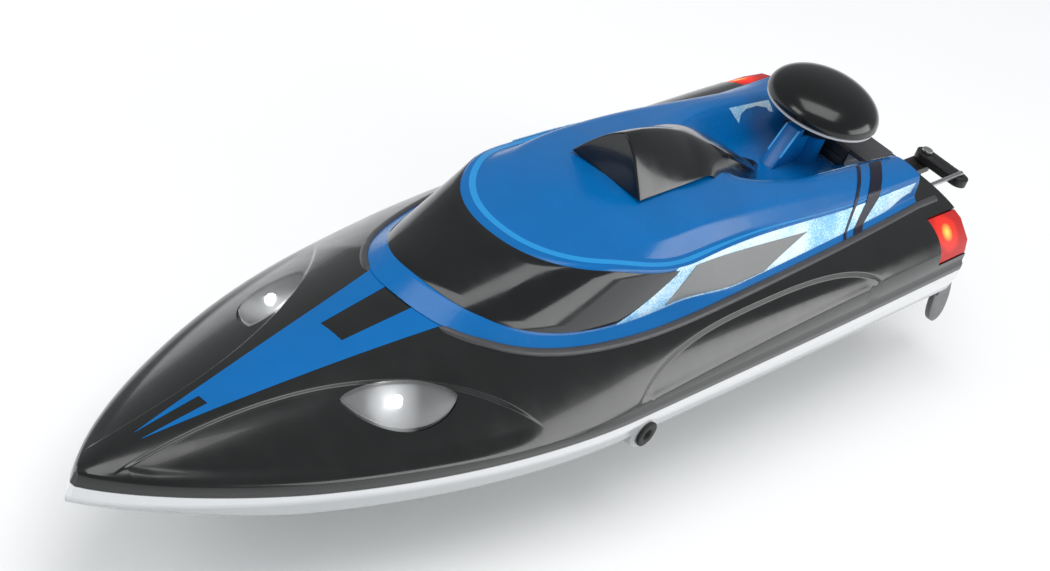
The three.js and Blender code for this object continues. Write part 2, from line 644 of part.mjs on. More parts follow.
const lockingBar = blank(DOME.x - 12, DOME.x + 12, -2.8, 2.8, 58, 61);
add("latch_stem", collar.add(stem).add(lockingBar), "blackSatin");

// ---------------------------------------------------------------- inner hatch
const LID = { z0: COAMING.top + GAP, thick: 2.2, lap: COAMING.wall + 0.6 };
const lidPlan = (grow, Kind) =>
  stadium(OPENING.x0 - grow, OPENING.x1 + grow, OPENING.half + grow, OPENING.round + grow, Kind);
const lid = manifoldOf(upright(lidPlan(LID.lap), LID.z0, LID.z0 + LID.thick));
const plugFoot = COAMING.top - HATCH_LIFT + GAP;
const plug = manifoldOf(upright(lidPlan(-1.9), plugFoot, LID.z0 + 0.5, [lidPlan(-3.9, THREE.Path)]));
const lidRib = blank(OPENING.x0 + 12, OPENING.x1 - 12, -8, 8, LID.z0 + 1, LID.z0 + LID.thick + 1.2);
add("hatch_cover", lid.add(plug).add(lidRib), "blackSatin");
const seal = upright(lidPlan(-0.4), plugFoot + 0.4, plugFoot + 2, [lidPlan(-1.6, THREE.Path)]);
add("hatch_seal", seal, "rubber");

const LATCH = { y: 28, long: 7.5, half: 3, z0: LID.z0 + LID.thick + GAP };
for (const [name, side] of SIDES) {
  const bar = manifoldOf(upright(stadium(-LATCH.long, LATCH.long, LATCH.half, LATCH.half - 0.2), 0, 2));
  const grip = blank(-LATCH.long + 1.5, LATCH.long - 1.5, -0.9, 0.9, 1.8, 4);
  const latch = bar.add(grip).translate([KEEPER_X, side * LATCH.y, LATCH.z0]);
  add(`hatch_latch_${name}`, latch, "red");
}

// ---------------------------------------------------------------- drive line
const along = (inner, outer, from, to, segments) =>
  manifoldOf(onShaft(sleeve(inner, outer, from, to, segments)));
const solidAlong = (r, from, to, segments) => manifoldOf(onShaft(rod(r, from, to, segments)));
const BORE = SHAFT.r + GAP;
const MOTOR_SHAFT_R = 1.6;
const COUPLING = { from: 104, to: 122, r: 5 };

add("drive_shaft", solidAlong(SHAFT.r, -9, 112.5, 12), "steel");
add("stern_tube", along(TUBE.inner, TUBE.outer, TUBE.from, TUBE.to, 16), "brass");
add(
  "shaft_coupling",
  solidAlong(COUPLING.r, COUPLING.from, COUPLING.to, 16)
    .subtract(solidAlong(BORE, COUPLING.from - 1, 112.8, 12))
    .subtract(solidAlong(MOTOR_SHAFT_R + GAP, 113.6, COUPLING.to + 1, 12)),
  "steel",
);
add("motor_shaft", solidAlong(MOTOR_SHAFT_R, 114, MOTOR.from + 8, 12), "steel");

// One blade: a twisted plate that widens from the hub and rounds off at the tip.
function blade(turn) {
  const rings = steps(PROP.hub - 1, PROP.r, 6).map((r) => {
    const u = (r - PROP.hub + 1) / (PROP.r - PROP.hub + 1);
    const chord = mix(5, 12, Math.sin(Math.PI * clamp(u * 0.75 + 0.12))) * Math.sqrt(1.02 - u ** 4);
    const pitch = mix(1.05, 0.5, u);
    const half = mix(0.9, 0.5, u);
    return [
      [-chord / 2, -half],
      [0, -half * 1.3],
      [chord / 2, -half],
      [chord / 2, half],
      [0, half * 1.3],
      [-chord / 2, half],
    ].map(([c, h]) => [
      r,
      c * Math.cos(pitch) - h * Math.sin(pitch),
      c * Math.sin(pitch) + h * Math.cos(pitch),
    ]);
  });
  return geometryOf(loft(rings)).rotateZ(turn);
}
let propeller = manifoldOf(sleeve(BORE, PROP.hub, -PROP.length / 2, PROP.length / 2, 20));
const hubBore = manifoldOf(rod(BORE + 0.6, -20, 20));
for (let i = 0; i < PROP.blades; i++) {
  const whole = manifoldOf(blade((2 * Math.PI * i) / PROP.blades));
  propeller = propeller.add(whole.subtract(hubBore));
}
add("propeller", manifoldOf(onShaft(geometryOf(propeller))), "blackSatin");
const nutFrom = -PROP.length / 2 - 6;
const nutProfile = [
  [0, nutFrom],
  [1.6, nutFrom],
  [3.6, nutFrom + 3],
  [3.6, nutFrom + 5.7],
  [0, nutFrom + 5.7],
];
const nut = manifoldOf(onShaft(turned(nutProfile, 6)));
add("propeller_nut", nut.subtract(solidAlong(BORE, -9.3, 0, 12)), "brass");

const motorCan = manifoldOf(
  onShaft(
    turned([
      [0, MOTOR.from],
      [MOTOR.r - 1, MOTOR.from],
      [MOTOR.r, MOTOR.from + 1],
      [MOTOR.r, MOTOR.from + MOTOR.length - 5],
      [MOTOR.r - 3, MOTOR.from + MOTOR.length - 5],
      [MOTOR.r - 3, MOTOR.from + MOTOR.length],
      [0, MOTOR.from + MOTOR.length],
    ], 24),
  ),
);
const motorBore = solidAlong(MOTOR_SHAFT_R + GAP, MOTOR.from - 1, MOTOR.from + 8.4, 12);
add("motor", motorCan.subtract(motorBore), "steel");

// The mount is a plate square to the shaft; drawn with x pointing down from the shaft and y across.
const mountPlan = [[-15, -15], [12.5, -15], [16, -5], [16, 5], [12.5, 15], [-15, 15]];
const motorMount = manifoldOf(onShaft(upright(mountPlan, MOTOR.from - 3.3, MOTOR.from - GAP)))
  .subtract(solidAlong(5, MOTOR.from - 6, MOTOR.from + 1, 16))
  .subtract(manifoldOf(onShaft(moved(rod(1.5, 100, 140, 10), 0, 9, 0))))
  .subtract(manifoldOf(onShaft(moved(rod(1.5, 100, 140, 10), 0, -9, 0))));
add("motor_mount", motorMount, "blackSatin");
for (const [name, side] of SIDES) {
  const screw = turned([[0, 0], [2.6, 0], [2.6, 1.8], [1.2, 1.8], [1.2, 4.6], [0, 4.6]], 10);
  add(`motor_screw_${name}`, onShaft(moved(screw, 0, side * 9, MOTOR.from - 5.4)), "steel");
}

// Water jacket: a ring round the motor with two nipples standing up from it.
const JACKET = { inner: MOTOR.r + GAP, outer: 16, from: 134, to: 158, nipples: [138, 154], tip: 21 };
let jacket = along(JACKET.inner, JACKET.outer, JACKET.from, JACKET.to, 24);
for (const place of JACKET.nipples) {
  const pipe = rod(1.6, JACKET.inner + 0.6, JACKET.tip, 10).rotateY(-Math.PI / 2);
  jacket = jacket.add(manifoldOf(onShaft(moved(pipe, 0, 0, place))));
}
add("water_jacket", jacket, "chrome");
const nippleTip = (place, beyond) => {
  const [x, y, z] = shaftPoint(place);
  const up = JACKET.tip + beyond;
  return [x - up * Math.sin(SHAFT_ANGLE), y, z + up * Math.cos(SHAFT_ANGLE)];
};

// ---------------------------------------------------------------- cooling water
const INLET = { x: 62, y: 20, foot: 3, top: 18 };
add("water_inlet", moved(sleeve(1.2, 2.1, INLET.foot, INLET.top, 12), INLET.x, INLET.y, 0), "brass");
const HOSE_R = 2.1;
const outletPipe = [
  [1.1, -13],
  [2, -13],
  [2, -5],
  [3.6, -5],
  [3.6, 1.95],
  [5.2, 1.95],
  [5.2, 3.2],
  [2.4, 3.2],
  [1.1, 0],
  [1.1, -13],
];
add("water_outlet", onOutlet(turned(outletPipe, 20)), "rubber");
const hoseInPath = [
  [INLET.x, INLET.y, INLET.top + GAP],
  [62.5, 20, 28],
  [75, 17, 42],
  [98, 8, 50],
  [115, 1.5, 51],
  nippleTip(JACKET.nipples[0], 6),
  nippleTip(JACKET.nipples[0], GAP),
];
const hoseOutPath = [
  nippleTip(JACKET.nipples[1], GAP),
  nippleTip(JACKET.nipples[1], 6),
  [146, 8, 55],
  [172, 34, 55],
  [200, 46, 46],
  [219, 38, 33],
  [OUTLET.x, 44, OUTLET.z],
  [OUTLET.x, OUTLET.y - 13.5, OUTLET.z],
];
add("cooling_hose_in", hose(hoseInPath, HOSE_R, 30), "silicone");
add("cooling_hose_out", hose(hoseOutPath, HOSE_R, 34), "silicone");

// ---------------------------------------------------------------- electrics
const TRAY = { x0: 157, x1: 290, half: 24, z0: 15.5, z1: 17.5 };
let tray = blank(TRAY.x0, TRAY.x1, -TRAY.half, TRAY.half, TRAY.z0, TRAY.z1);
for (const x of [TRAY.x0, 215, TRAY.x1 - 6]) {
  const foot = box(x, x + 6, 20, TRAY.half, 12.7, TRAY.z0 + 1);
  for (const [, side] of SIDES) tray = tray.add(mirrored(foot, side));
}
add("equipment_tray", tray, "blackSatin");

const BATTERY = { x0: 200, x1: 268, half: 18, z0: TRAY.z1 + GAP, z1: 38 };
const batteryPlan = stadium(-BATTERY.half, BATTERY.half, (BATTERY.z1 - BATTERY.z0) / 2, 4);
const battery = moved(
  crossPlate(batteryPlan, BATTERY.x0, BATTERY.x1),
  0,
  0,
  (BATTERY.z0 + BATTERY.z1) / 2,
);
add("battery", battery, "cell");
const strapOuter = blank(228, 242, -20.4, 20.4, TRAY.z1 + GAP, BATTERY.z1 + 1.8);
const strapInner = blank(220, 250, -BATTERY.half - GAP, BATTERY.half + GAP, 0, BATTERY.z1 + GAP);
add("battery_strap", strapOuter.subtract(strapInner), "rubber");

const BOARD = { x0: 161, x1: 193, half: 17, z0: TRAY.z1 + GAP };
let board = blank(BOARD.x0, BOARD.x1, -BOARD.half, BOARD.half, BOARD.z0, BOARD.z0 + 1.6);
const CHIPS = [
  // each block on the board: x from and to, y from and to, height
  [164, 174, -12, -2, 4],
  [178, 190, -14, -4, 6],
  [165, 173, 3, 13, 7],
  [178, 188, 4, 14, 4.5],
];
for (const [x0, x1, y0, y1, high] of CHIPS) {
  board = board.add(blank(x0, x1, y0, y1, BOARD.z0 + 1, BOARD.z0 + high));
}
add("control_board", board, "board");

const batteryLeadPath = [
  [BATTERY.x0 - 0.9, 9, 32],
  [195, 9, 33.5],
  [189, 9, 35],
  [183, 9, 32],
  [183, 9, BOARD.z0 + 4.9],
];
add("battery_lead", hose(batteryLeadPath, 1.5, 14, 6), "red");
const motorEnd = (y) => {
  const [x, , z] = shaftPoint(MOTOR.from + MOTOR.length + GAP);
  return [x, y, z];
};
for (const [name, side] of SIDES) {
  const path = [
    motorEnd(side * 6),
    [153, side * 6, 24.5],
    [157, side * 6.3, 29],
    [163, side * 7, 31],
    [168, side * 7.5, 29],
    [169, side * 7.6, BOARD.z0 + 7.6],
  ];
  add(`motor_lead_${name}`, hose(path, 1, 12, 6), side > 0 ? "red" : "blackSatin");
}
for (const [name, side] of SIDES) {
  const pin = turned([[0, 0.4], [2.3, 0.4], [1.2, 1.6], [1.2, 9], [0, 9]], 10);
  add(`sensor_contact_${name}`, moved(pin, 176, side * 9, 0), "brass");
}

// ---------------------------------------------------------------- lamps
const LED = { r: 2.5, barrel: 2.4, dome: 1.6 };
const ledDome = steps(0.3, Math.PI / 2, 3).map((a) => [
  LED.r * Math.cos(a),
  LED.barrel + LED.dome * Math.sin(a),
]);
for (const [name, side] of SIDES) {
  const lamp = turned([[0, 0], [LED.r, 0], [LED.r, LED.barrel], ...ledDome], 12);
  add(`tail_light_led_${name}`, mirrored(moved(lamp, 12, 52.2, TAIL.z0 + 3), side), "clear");
}

// ---------------------------------------------------------------- steering
const BRACKET = { x1: -GAP, plate: 3, y0: STEER.y - 7, y1: STEER.y + 7, half: 4 };
const armPlan = () => {
  const plan = new THREE.Shape();
  plan.moveTo(-1, STEER.y - BRACKET.half);
  plan.lineTo(-1, STEER.y + BRACKET.half);
  plan.lineTo(STEER.x, STEER.y + BRACKET.half);
  plan.absarc(STEER.x, STEER.y, BRACKET.half, Math.PI / 2, 1.5 * Math.PI);
  plan.lineTo(-1, STEER.y - BRACKET.half);
  return plan;
};
const stockHole = manifoldOf(moved(rod(2 + GAP, 0, 80, 16), STEER.x, STEER.y, 0));
const GUSSET = [
  [-2, 41],
  [-24, 41],
  [-10, STEER.armZ - 2],
  [-2, STEER.armZ - 2],
];
const bracket = blank(BRACKET.x1 - BRACKET.plate, BRACKET.x1, BRACKET.y0, BRACKET.y1, 43.4, 60)
  .add(manifoldOf(upright(armPlan(), STEER.armZ - 3.7, STEER.armZ - 0.7)))
  .add(manifoldOf(upright(armPlan(), 40, 43)))
  .add(manifoldOf(sidePlate(GUSSET, STEER.y - 1.3, STEER.y + 1.3)))
  .subtract(stockHole)
  .subtract(blank(BRACKET.x1, 5, 0, 40, 0, 90));
const bracketScrews = [[1, 57.4], [-1, 46.2]];
const screwHoleX = (y, z, r, from, to) =>
  manifoldOf(moved(rod(r, from, to, 10).rotateY(Math.PI / 2), 0, y, z));
let bracketBody = bracket;
bracketScrews.forEach(([side, z], i) => {
  const y = STEER.y + side * 5.1;
  bracketBody = bracketBody.subtract(screwHoleX(y, z, 1.3, -6, 1));
  const screw = turned([[0, 0], [1.8, 0], [1.8, 1.4], [1, 1.4], [1, 4], [0, 4]], 10).rotateY(Math.PI / 2);
  add(`bracket_screw_${i + 1}`, moved(screw, BRACKET.x1 - BRACKET.plate - 1.7, y, z), "steel");
});
add("rudder_bracket", bracketBody, "blackSatin");

const stock = manifoldOf(moved(rod(2, 30, STEER.armZ + 1, 14), STEER.x, STEER.y, 0));
const bladePlan = new THREE.Shape();
bladePlan.moveTo(STEER.x + 6, 36);
bladePlan.lineTo(STEER.x - 11, 36);
bladePlan.lineTo(STEER.x - 14, -2);
bladePlan.quadraticCurveTo(STEER.x - 13, -10, STEER.x - 6, -10);
bladePlan.quadraticCurveTo(STEER.x + 3, -8, STEER.x + 6, 8);
const rudderBlade = manifoldOf(sidePlate(bladePlan, STEER.y - 1.6, STEER.y + 1.6)).add(
  manifoldOf(moved(rod(3, 28, 39.6, 14), STEER.x, STEER.y, 0)),
);
add("rudder_blade", rudderBlade.add(stock), "blackSatin");

// A lever of the given radius, drawn from its hub at the origin to its end on +y.
const PIN_R = 0.8; // the pushrod's down-turned ends
function lever(reach, half, thick) {
  const plan = new THREE.Shape();
  plan.moveTo(half, 0);
  plan.lineTo(half, reach);
  plan.absarc(0, reach, half, 0, Math.PI);
  plan.lineTo(-half, 0);
  plan.absarc(0, 0, half, Math.PI, 2 * Math.PI);
  const pinHole = manifoldOf(moved(rod(PIN_R + GAP + 0.1, -5, 20, 10), 0, reach, 0));
  return manifoldOf(upright(plan, 0, thick)).subtract(pinHole);
}
const TILLER = { half: 4.2, thick: 3.3 };
const tillerHub = manifoldOf(rod(2 + GAP, -2, 1.3, 14));
const tiller = lever(STEER.arm, TILLER.half, TILLER.thick)
  .subtract(tillerHub)
  .subtract(manifoldOf(rod(1, 0, 5, 10)));
add("tiller_arm", tiller.translate([STEER.x, STEER.y, STEER.armZ]), "blackSatin");
const screwHead = TILLER.thick + GAP;
const tillerScrew = turned(
  [[0, 1.6], [0.8, 1.6], [0.8, screwHead], [2.4, screwHead], [2.4, screwHead + 1.3], [0, screwHead + 1.3]],
  10,
);
add("tiller_screw", moved(tillerScrew, STEER.x, STEER.y, STEER.armZ), "steel");

const drop = (x) => manifoldOf(moved(rod(PIN_R, STEER.armZ - 1, STEER.rodZ, 10), x, ROD_Y, 0));
const rodBar = manifoldOf(
  moved(rod(ROD_R, STEER.x - 0.8, SERVO.axis + 0.8, 12).rotateY(Math.PI / 2), 0, ROD_Y, STEER.rodZ),
);
add("pushrod", rodBar.add(drop(STEER.x)).add(drop(SERVO.axis)), "steel");
const bellows = [
  [BOOT.inner, -6],
  [3.4, -6],
  [4, -5],
  [3.4, -4],
  [4.2, -3],
  [3.6, -2],
  [5.6, -1.2],
  [5.6, -GAP],
  [BOOT.outer, -GAP],
  [BOOT.outer, 3],
  [BOOT.inner, 3],
  [BOOT.inner, -6],
];
add("pushrod_boot", onBoot(turned(bellows, 18)), "rubber");

const hornHub = manifoldOf(rod(1.6 + GAP, -2, 1.3, 12));
const horn = lever(STEER.arm, 3, 2.4).subtract(hornHub);
add("servo_horn", horn.translate([SERVO.axis, STEER.y, STEER.armZ]), "lightGrey");
const servoSides = [STEER.y - SERVO.half, STEER.y + SERVO.half];
const servoBody = blank(SERVO.x0, SERVO.x1, ...servoSides, SERVO.z0, SERVO.z1)
  .add(blank(SERVO.x0 - 4.5, SERVO.x1 + 4.5, ...servoSides, 42, 44.4))
  .add(manifoldOf(moved(rod(5.4, SERVO.z1 - 1, STEER.armZ - GAP, 16), SERVO.axis, STEER.y, 0)))
  .add(manifoldOf(moved(rod(1.6, SERVO.z1 - 1, STEER.armZ + 1, 12), SERVO.axis, STEER.y, 0)));
add("servo", servoBody, "blackSatin");
let servoTray = blank(26, 66, -30, 30, 25.6, 28.6);
for (const [, side] of SIDES) {
  servoTray = servoTray.add(mirrored(box(30, 60, 27, 30, 15, 27), side));
}
servoTray = servoTray.subtract(manifoldOf(moved(rod(4, 10, 40, 12), INLET.x, INLET.y, 0)));
add("servo_tray", servoTray, "blackSatin");

// ---------------------------------------------------------------- turn fins
for (const [name, side] of SIDES) {
  const plan = new THREE.Shape();
  plan.moveTo(-2, 33);
  plan.lineTo(-11, 30);
  plan.quadraticCurveTo(-18, 20, -18.5, 12);
  plan.quadraticCurveTo(-18, 7, -13, 7.4);
  plan.quadraticCurveTo(-5, 10, -2, 24);
  const fin = manifoldOf(sidePlate(plan, 55.6, 58)).add(blank(-2.4, -GAP, 48, 59.5, 25, 35));
  add(`turn_fin_${name}`, mirrored(fin, side), "grey");
}

export default boat;
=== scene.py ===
"""The looks of an RC boat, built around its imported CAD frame.

Shapes are worked out in millimetres in the boat's own coordinates: x = 0 at the transom, +x to the bow,
+y to port, z = 0 at the keel pad. place() turns them into the frame's metres.
"""
import json
import math
import bmesh
import bpy
from mathutils import Matrix, Vector


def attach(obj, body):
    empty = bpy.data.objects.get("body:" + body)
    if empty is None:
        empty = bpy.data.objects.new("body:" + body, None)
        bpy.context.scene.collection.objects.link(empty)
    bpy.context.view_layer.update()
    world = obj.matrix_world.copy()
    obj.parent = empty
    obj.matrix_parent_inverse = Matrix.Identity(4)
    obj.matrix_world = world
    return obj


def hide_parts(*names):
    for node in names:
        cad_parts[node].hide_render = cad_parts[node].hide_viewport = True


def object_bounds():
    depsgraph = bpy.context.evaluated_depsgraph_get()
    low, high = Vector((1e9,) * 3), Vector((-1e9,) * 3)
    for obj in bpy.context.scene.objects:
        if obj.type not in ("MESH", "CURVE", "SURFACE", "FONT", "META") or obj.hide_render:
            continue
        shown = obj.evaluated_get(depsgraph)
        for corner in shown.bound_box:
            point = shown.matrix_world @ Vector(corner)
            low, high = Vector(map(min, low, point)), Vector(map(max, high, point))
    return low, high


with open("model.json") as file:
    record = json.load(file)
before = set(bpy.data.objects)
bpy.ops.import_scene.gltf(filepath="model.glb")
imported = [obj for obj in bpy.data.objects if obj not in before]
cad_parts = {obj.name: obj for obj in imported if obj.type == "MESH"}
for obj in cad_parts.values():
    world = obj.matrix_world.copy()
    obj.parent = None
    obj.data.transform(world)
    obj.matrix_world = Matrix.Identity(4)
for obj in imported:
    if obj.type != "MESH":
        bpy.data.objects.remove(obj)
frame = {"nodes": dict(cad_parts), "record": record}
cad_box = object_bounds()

# ---------------------------------------------------------------- sizes, in mm
MIDSHIP = 235.0  # the frame's origin lies this far forward of the transom
LENGTH = 474.0
TIP = 473.4  # foremost station of the hull and the deck
SOLID_BOW = 462.0  # ahead of this the mouldings are solid
BEAM = 65.0  # half the greatest width of the hull
STERN_BEAM = 63.0
STERN_TAPER = 160.0  # the width grows from the transom over this length
PAD = 6.0  # half the width of the flat keel pad
SKIN = 2.2  # wall of the hull and the deck
GAP = 0.3  # clearance between neighbouring pieces
RIM = 3.4  # height of the hull's upright rim, under the joint with the deck
CHINE_IN = 1.5  # how far the hull's sides lean in from the rim to the chine
DECK_IN = 1.0  # how far the deck's edge lies inside the hull's side
JOINT = {"stern": 41.4, "low": 35.7, "low_x": 390.0, "bow_rise": 2.6}  # height of the joint of hull and deck
CROWN = {"stern": 66.0, "bow": 43.0, "rise": 31.0, "reach": 174.0}  # height of the deck's middle line
CANOPY_AFT = 21.0
DOME = {"x": 54.0, "z": 92.0, "r": 23.5, "rise": 12.5}
SIDES = (("port", 1.0), ("starboard", -1.0))


def clamp(v, low=0.0, high=1.0):
    return min(high, max(low, v))


def mix(a, b, t):
    return a + (b - a) * t


def smooth(v, low, high):
    t = clamp((v - low) / (high - low))
    return t * t * (3 - 2 * t)


def steps(a, b, n):
    return [mix(a, b, i / n) for i in range(n + 1)]


def place(p):
    return Vector(((p[0] - MIDSHIP) / 1000, p[1] / 1000, p[2] / 1000))


# ---------------------------------------------------------------- hull and deck lines
def beam_at(x):
    """Half the width of the hull."""
    if x < MIDSHIP:
        return BEAM - (BEAM - STERN_BEAM) * (1 - clamp(x / STERN_TAPER)) ** 2
    return BEAM * (1 - clamp((x - MIDSHIP) / (LENGTH + 0.2 - MIDSHIP)) ** 1.75) ** 0.8


def joint_at(x):
    """Height of the joint between hull and deck: it falls from the transom and lifts again at the bow."""
    low_x = JOINT["low_x"]
    rise = JOINT["bow_rise"] * clamp((x - low_x) / (LENGTH - low_x)) ** 1.3
    return mix(JOINT["stern"], JOINT["low"], smooth(x, 0, low_x)) + rise


def band_at(x):
    """Height of the upright band between the joint and the deck's edge."""
    return mix(4.0, 5.7, smooth(x, 250, 360))


def chine_at(x):
    """Height of the chine, where the side meets the bottom."""
    return joint_at(x) - mix(11.3, 8.9, x / LENGTH) + 3.5 * smooth(x, JOINT["low_x"], LENGTH)


def keel_at(x):
    """Height of the keel: flat along the pad, then rising to the bow."""
    return chine_at(x) * 0.96 * clamp((x - 280) / 194) ** 2.2


def crown_at(x):
    """Height of the deck on its middle line."""
    foredeck = CROWN["bow"] + CROWN["rise"] * clamp((LENGTH - x) / CROWN["reach"]) ** 0.8
    return foredeck if x > LENGTH - CROWN["reach"] else mix(CROWN["stern"], foredeck, smooth(x, 60, 300))


def deck_edge_at(x):
    return beam_at(x) - DECK_IN


def deck_at(x, y):
    """Height of the plain deck: flat-topped and full aft, a simple arch on the foredeck."""
    fore = smooth(x, 60, 340)
    foot = joint_at(x) + band_at(x)
    across = clamp(abs(y) / max(deck_edge_at(x), 0.01))
    rise = (1 - across ** mix(4, 2, fore)) ** mix(0.37, 1, fore)
    return foot + (crown_at(x) - foot) * rise


def brow_at(x):
    """How far from the middle the step over the headlight runs."""
    return 6.8 + 46.7 * clamp((468 - x) / 176, 0, 1.12) ** 2.6


def chine_flat_at(x):
    """How far from the middle the sunk panel along the deck's side begins."""
    u = min(abs((x - 151) / 86), 1.0)
    return 66 - 12.6 * (1 - u**3) ** 0.65


def step_at(x):
    """The line that the deck's steps follow, kept just inside the deck's edge."""
    edge = deck_edge_at(x)
    line = mix(chine_flat_at(x), brow_at(x), smooth(x, 240, 286))
    return max(min(line, edge - 0.9), min(0.4, edge / 2))


STEP_HALF = 0.45  # half the width of a step's slope


def sunk_at(x, y):
    """Depth of the deck's sunk panels below the plain deck."""
    edge = deck_edge_at(x)
    below = smooth(abs(y) - step_at(x), -STEP_HALF, STEP_HALF)
    if x > 260:
        fade = smooth(x, 284, 306) * (1 - smooth(x, 448, 468))
        return 1.3 * below * fade * (1 - 0.85 * smooth(abs(y), edge - 5, edge))
    return 1.5 * below * smooth(edge - chine_flat_at(x), 0.5, 4.5) * smooth(edge - abs(y), 0.0, 3.0)


def top_at(x, y):
    """Height of the deck's real surface, with the sunk panels."""
    return deck_at(x, y) - sunk_at(x, y)


# ---------------------------------------------------------------- canopy lines
# The canopy's section is a chain of corners, from its lower edge up to the middle of the trough. Each corner
# runs along a line from the front of the canopy (t = 0), round its side (T_SIDE), to its stern end (t = 1).
FEATURES = ("edge", "sill", "knuckle", "rim", "shoulder", "crease", "foot", "centre")
T_SIDE = 0.5
FRONT = {
    # x where the front's curve begins, its reach ahead of that, its half-width, and the curve's power
    "edge": (187, 132.3, 48.5, 2.3),
    "sill": (200, 111, 43, 2.4),
    "knuckle": (195, 76.5, 42, 2.2),
    "rim": (195, 70.8, 37.5, 2.2),
    "shoulder": (190, 60, 33, 2.1),
    "crease": (185, 45, 15.5, 2),
    "foot": (180, 33, 8, 2),
    "centre": (175, 28, 0, 2),
}


def edge_half(x):
    """Half the width of the canopy's lower edge along its sides."""
    return 48.5 - 7 * clamp((187 - x) / 165) ** 1.6


AFT_HALF = {
    "edge": edge_half,
    "sill": lambda x: edge_half(x) - mix(2.3, 5.4, smooth(x, 160, 200)),
    "knuckle": lambda x: 38.3 + 3.7 * clamp((x - 95) / 100) ** 1.3,
    "rim": lambda x: 37.3 + 0.2 * clamp((x - 95) / 100),
    "shoulder": lambda x: 33,
    "crease": lambda x: 15 + 10 * (1 - smooth(x, 85, 180)),
    "foot": lambda x: 8 + 5 * (1 - smooth(x, 100, 170)),
    "centre": lambda x: 0,
}


def trough_at(x):
    """Height of the trough's floor, which slopes down aft to the knob."""
    return 70 + 26 * smooth(x, 95, 160)


def plan_at(name, t):
    """Where a corner's line is in plan, as x and y."""
    x0, reach, half, power = FRONT[name]
    if t < T_SIDE:
        angle = (t / T_SIDE) * (math.pi / 2)
        return x0 + reach * math.cos(angle) ** (2 / power), half * math.sin(angle) ** (2 / power)
    x = mix(x0, CANOPY_AFT, (t - T_SIDE) / (1 - T_SIDE))
    return x, AFT_HALF[name](x)


def knuckle_height(x, t):
    return 88 - 5.5 * smooth(t, 0.28, T_SIDE) if t < T_SIDE else 73.7 + 8.8 * smooth(x, 60, 180)


HEIGHT = {
    "edge": lambda x, y, t: deck_at(x, y) + 0.4,
    "sill": lambda x, y, t: deck_at(x, plan_at("edge", t)[1]) + mix(4.2, 2.4, smooth(t, 0.5, 0.61)),
    "knuckle": lambda x, y, t: knuckle_height(x, t),
    "rim": lambda x, y, t: knuckle_height(x, t) + mix(0.8, 2.4, smooth(t, T_SIDE, 0.7)),
    "shoulder": lambda x, y, t: 91.5 if t < T_SIDE else 77 + 14.5 * smooth(x, 10, 190),
    "crease": lambda x, y, t: min(95.4, 78 + 0.1115 * (x - 27)),
    "foot": lambda x, y, t: 96.2 if t < T_SIDE else trough_at(x),
    "centre": lambda x, y, t: 96.6 if t < T_SIDE else trough_at(x) - 0.4,
}


def line_point(name, t):
    """The point on a corner's line at t."""
    x, y = plan_at(name, t)
    return Vector((x, y, HEIGHT[name](x, y, t)))


SPINE = (187, 0, 70)  # a point inside the canopy, from which its panels face away


def side_point(t, v, out=0.0):
    """A point on the canopy's side, v from the sill (0) to the knuckle (1). A negative t is to starboard."""
    def flat(tt, vv):
        p = line_point("sill", abs(tt)).lerp(line_point("knuckle", abs(tt)), vv)
        return Vector((p.x, -p.y, p.z)) if tt < 0 else p

    p = flat(t, v)
    along = flat(t + 0.004, v) - flat(t - 0.004, v)
    up = flat(t, 1) - flat(t, 0)
    normal = along.cross(up).normalized()
    if normal.dot(p - Vector((min(p.x, SPINE[0]), 0, SPINE[2]))) < 0:
        normal.negate()
    return p + normal * out


# ---------------------------------------------------------------- meshes
def rounded(points, cuts, samples=4):
    """A polyline with each inner corner rounded off; cuts says how far each rounding reaches."""
    out = [points[0]]
    for i, cut in enumerate(cuts, start=1):
        before, corner, after = points[i - 1], points[i], points[i + 1]
        a = min(cut, 0.42 * (corner - before).length)
        b = min(cut, 0.42 * (after - corner).length)
        start = corner + (before - corner).normalized() * a
        end = corner + (after - corner).normalized() * b
        previous = out[-1]
        out += [previous.lerp(start, u) for u in (0.08, 0.92)]  # keeps the flat between two roundings flat
        for u in steps(0, 1, samples):
            out.append(start * (1 - u) ** 2 + corner * (2 * u * (1 - u)) + end * u**2)
    out.append(out[-1].lerp(points[-1], 0.5))
    out.append(points[-1])
    return out


def new_object(name, points, faces):
    """A mesh object from points in boat millimetres, welded, with its faces turned outward."""
    mesh = bpy.data.meshes.new(name)
    mesh.from_pydata([place(p) for p in points], [], faces)
    mesh.validate()
    bm = bmesh.new()
    bm.from_mesh(mesh)
    bmesh.ops.remove_doubles(bm, verts=bm.verts, dist=1e-6)
    bmesh.ops.recalc_face_normals(bm, faces=bm.faces)
    bm.to_mesh(mesh)
    bm.free()
    obj = bpy.data.objects.new(name, mesh)
    bpy.context.scene.collection.objects.link(obj)
    return obj


def grid(rows, closed=False):
    """Points and quads of a grid; closed joins each row's end to its start."""
    width = len(rows[0])
    points = [p for row in rows for p in row]
    faces = []
    for r in range(len(rows) - 1):
        for c in range(width if closed else width - 1):
            d = (c + 1) % width
            faces.append((r * width + c, r * width + d, (r + 1) * width + d, (r + 1) * width + c))
    return points, faces


def loft(name, rings):
    """A solid through closed rings, with flat ends."""
    points, faces = grid(rings, closed=True)
    width = len(rings[0])
    faces.append(tuple(reversed(range(width))))
    faces.append(tuple(range(len(points) - width, len(points))))
    return new_object(name, points, faces)


def turned(name, profile, segments=72, axis="Z", at=(0, 0, 0)):
    """A solid turned from [radius, height] points, which start and end on the axis or form a loop."""
    rows = []
    for k in range(segments):
        a = 2 * math.pi * k / segments
        rows.append([Vector((r * math.cos(a), r * math.sin(a), z)) for r, z in profile])
    rows.append(rows[0])
    turn = {"Z": Matrix.Identity(3), "X": Matrix.Rotation(math.pi / 2, 3, "Y"),
            "Y": Matrix.Rotation(-math.pi / 2, 3, "X")}[axis]
    rows = [[turn @ p + Vector(at) for p in row] for row in rows]
    return new_object(name, *grid(rows))


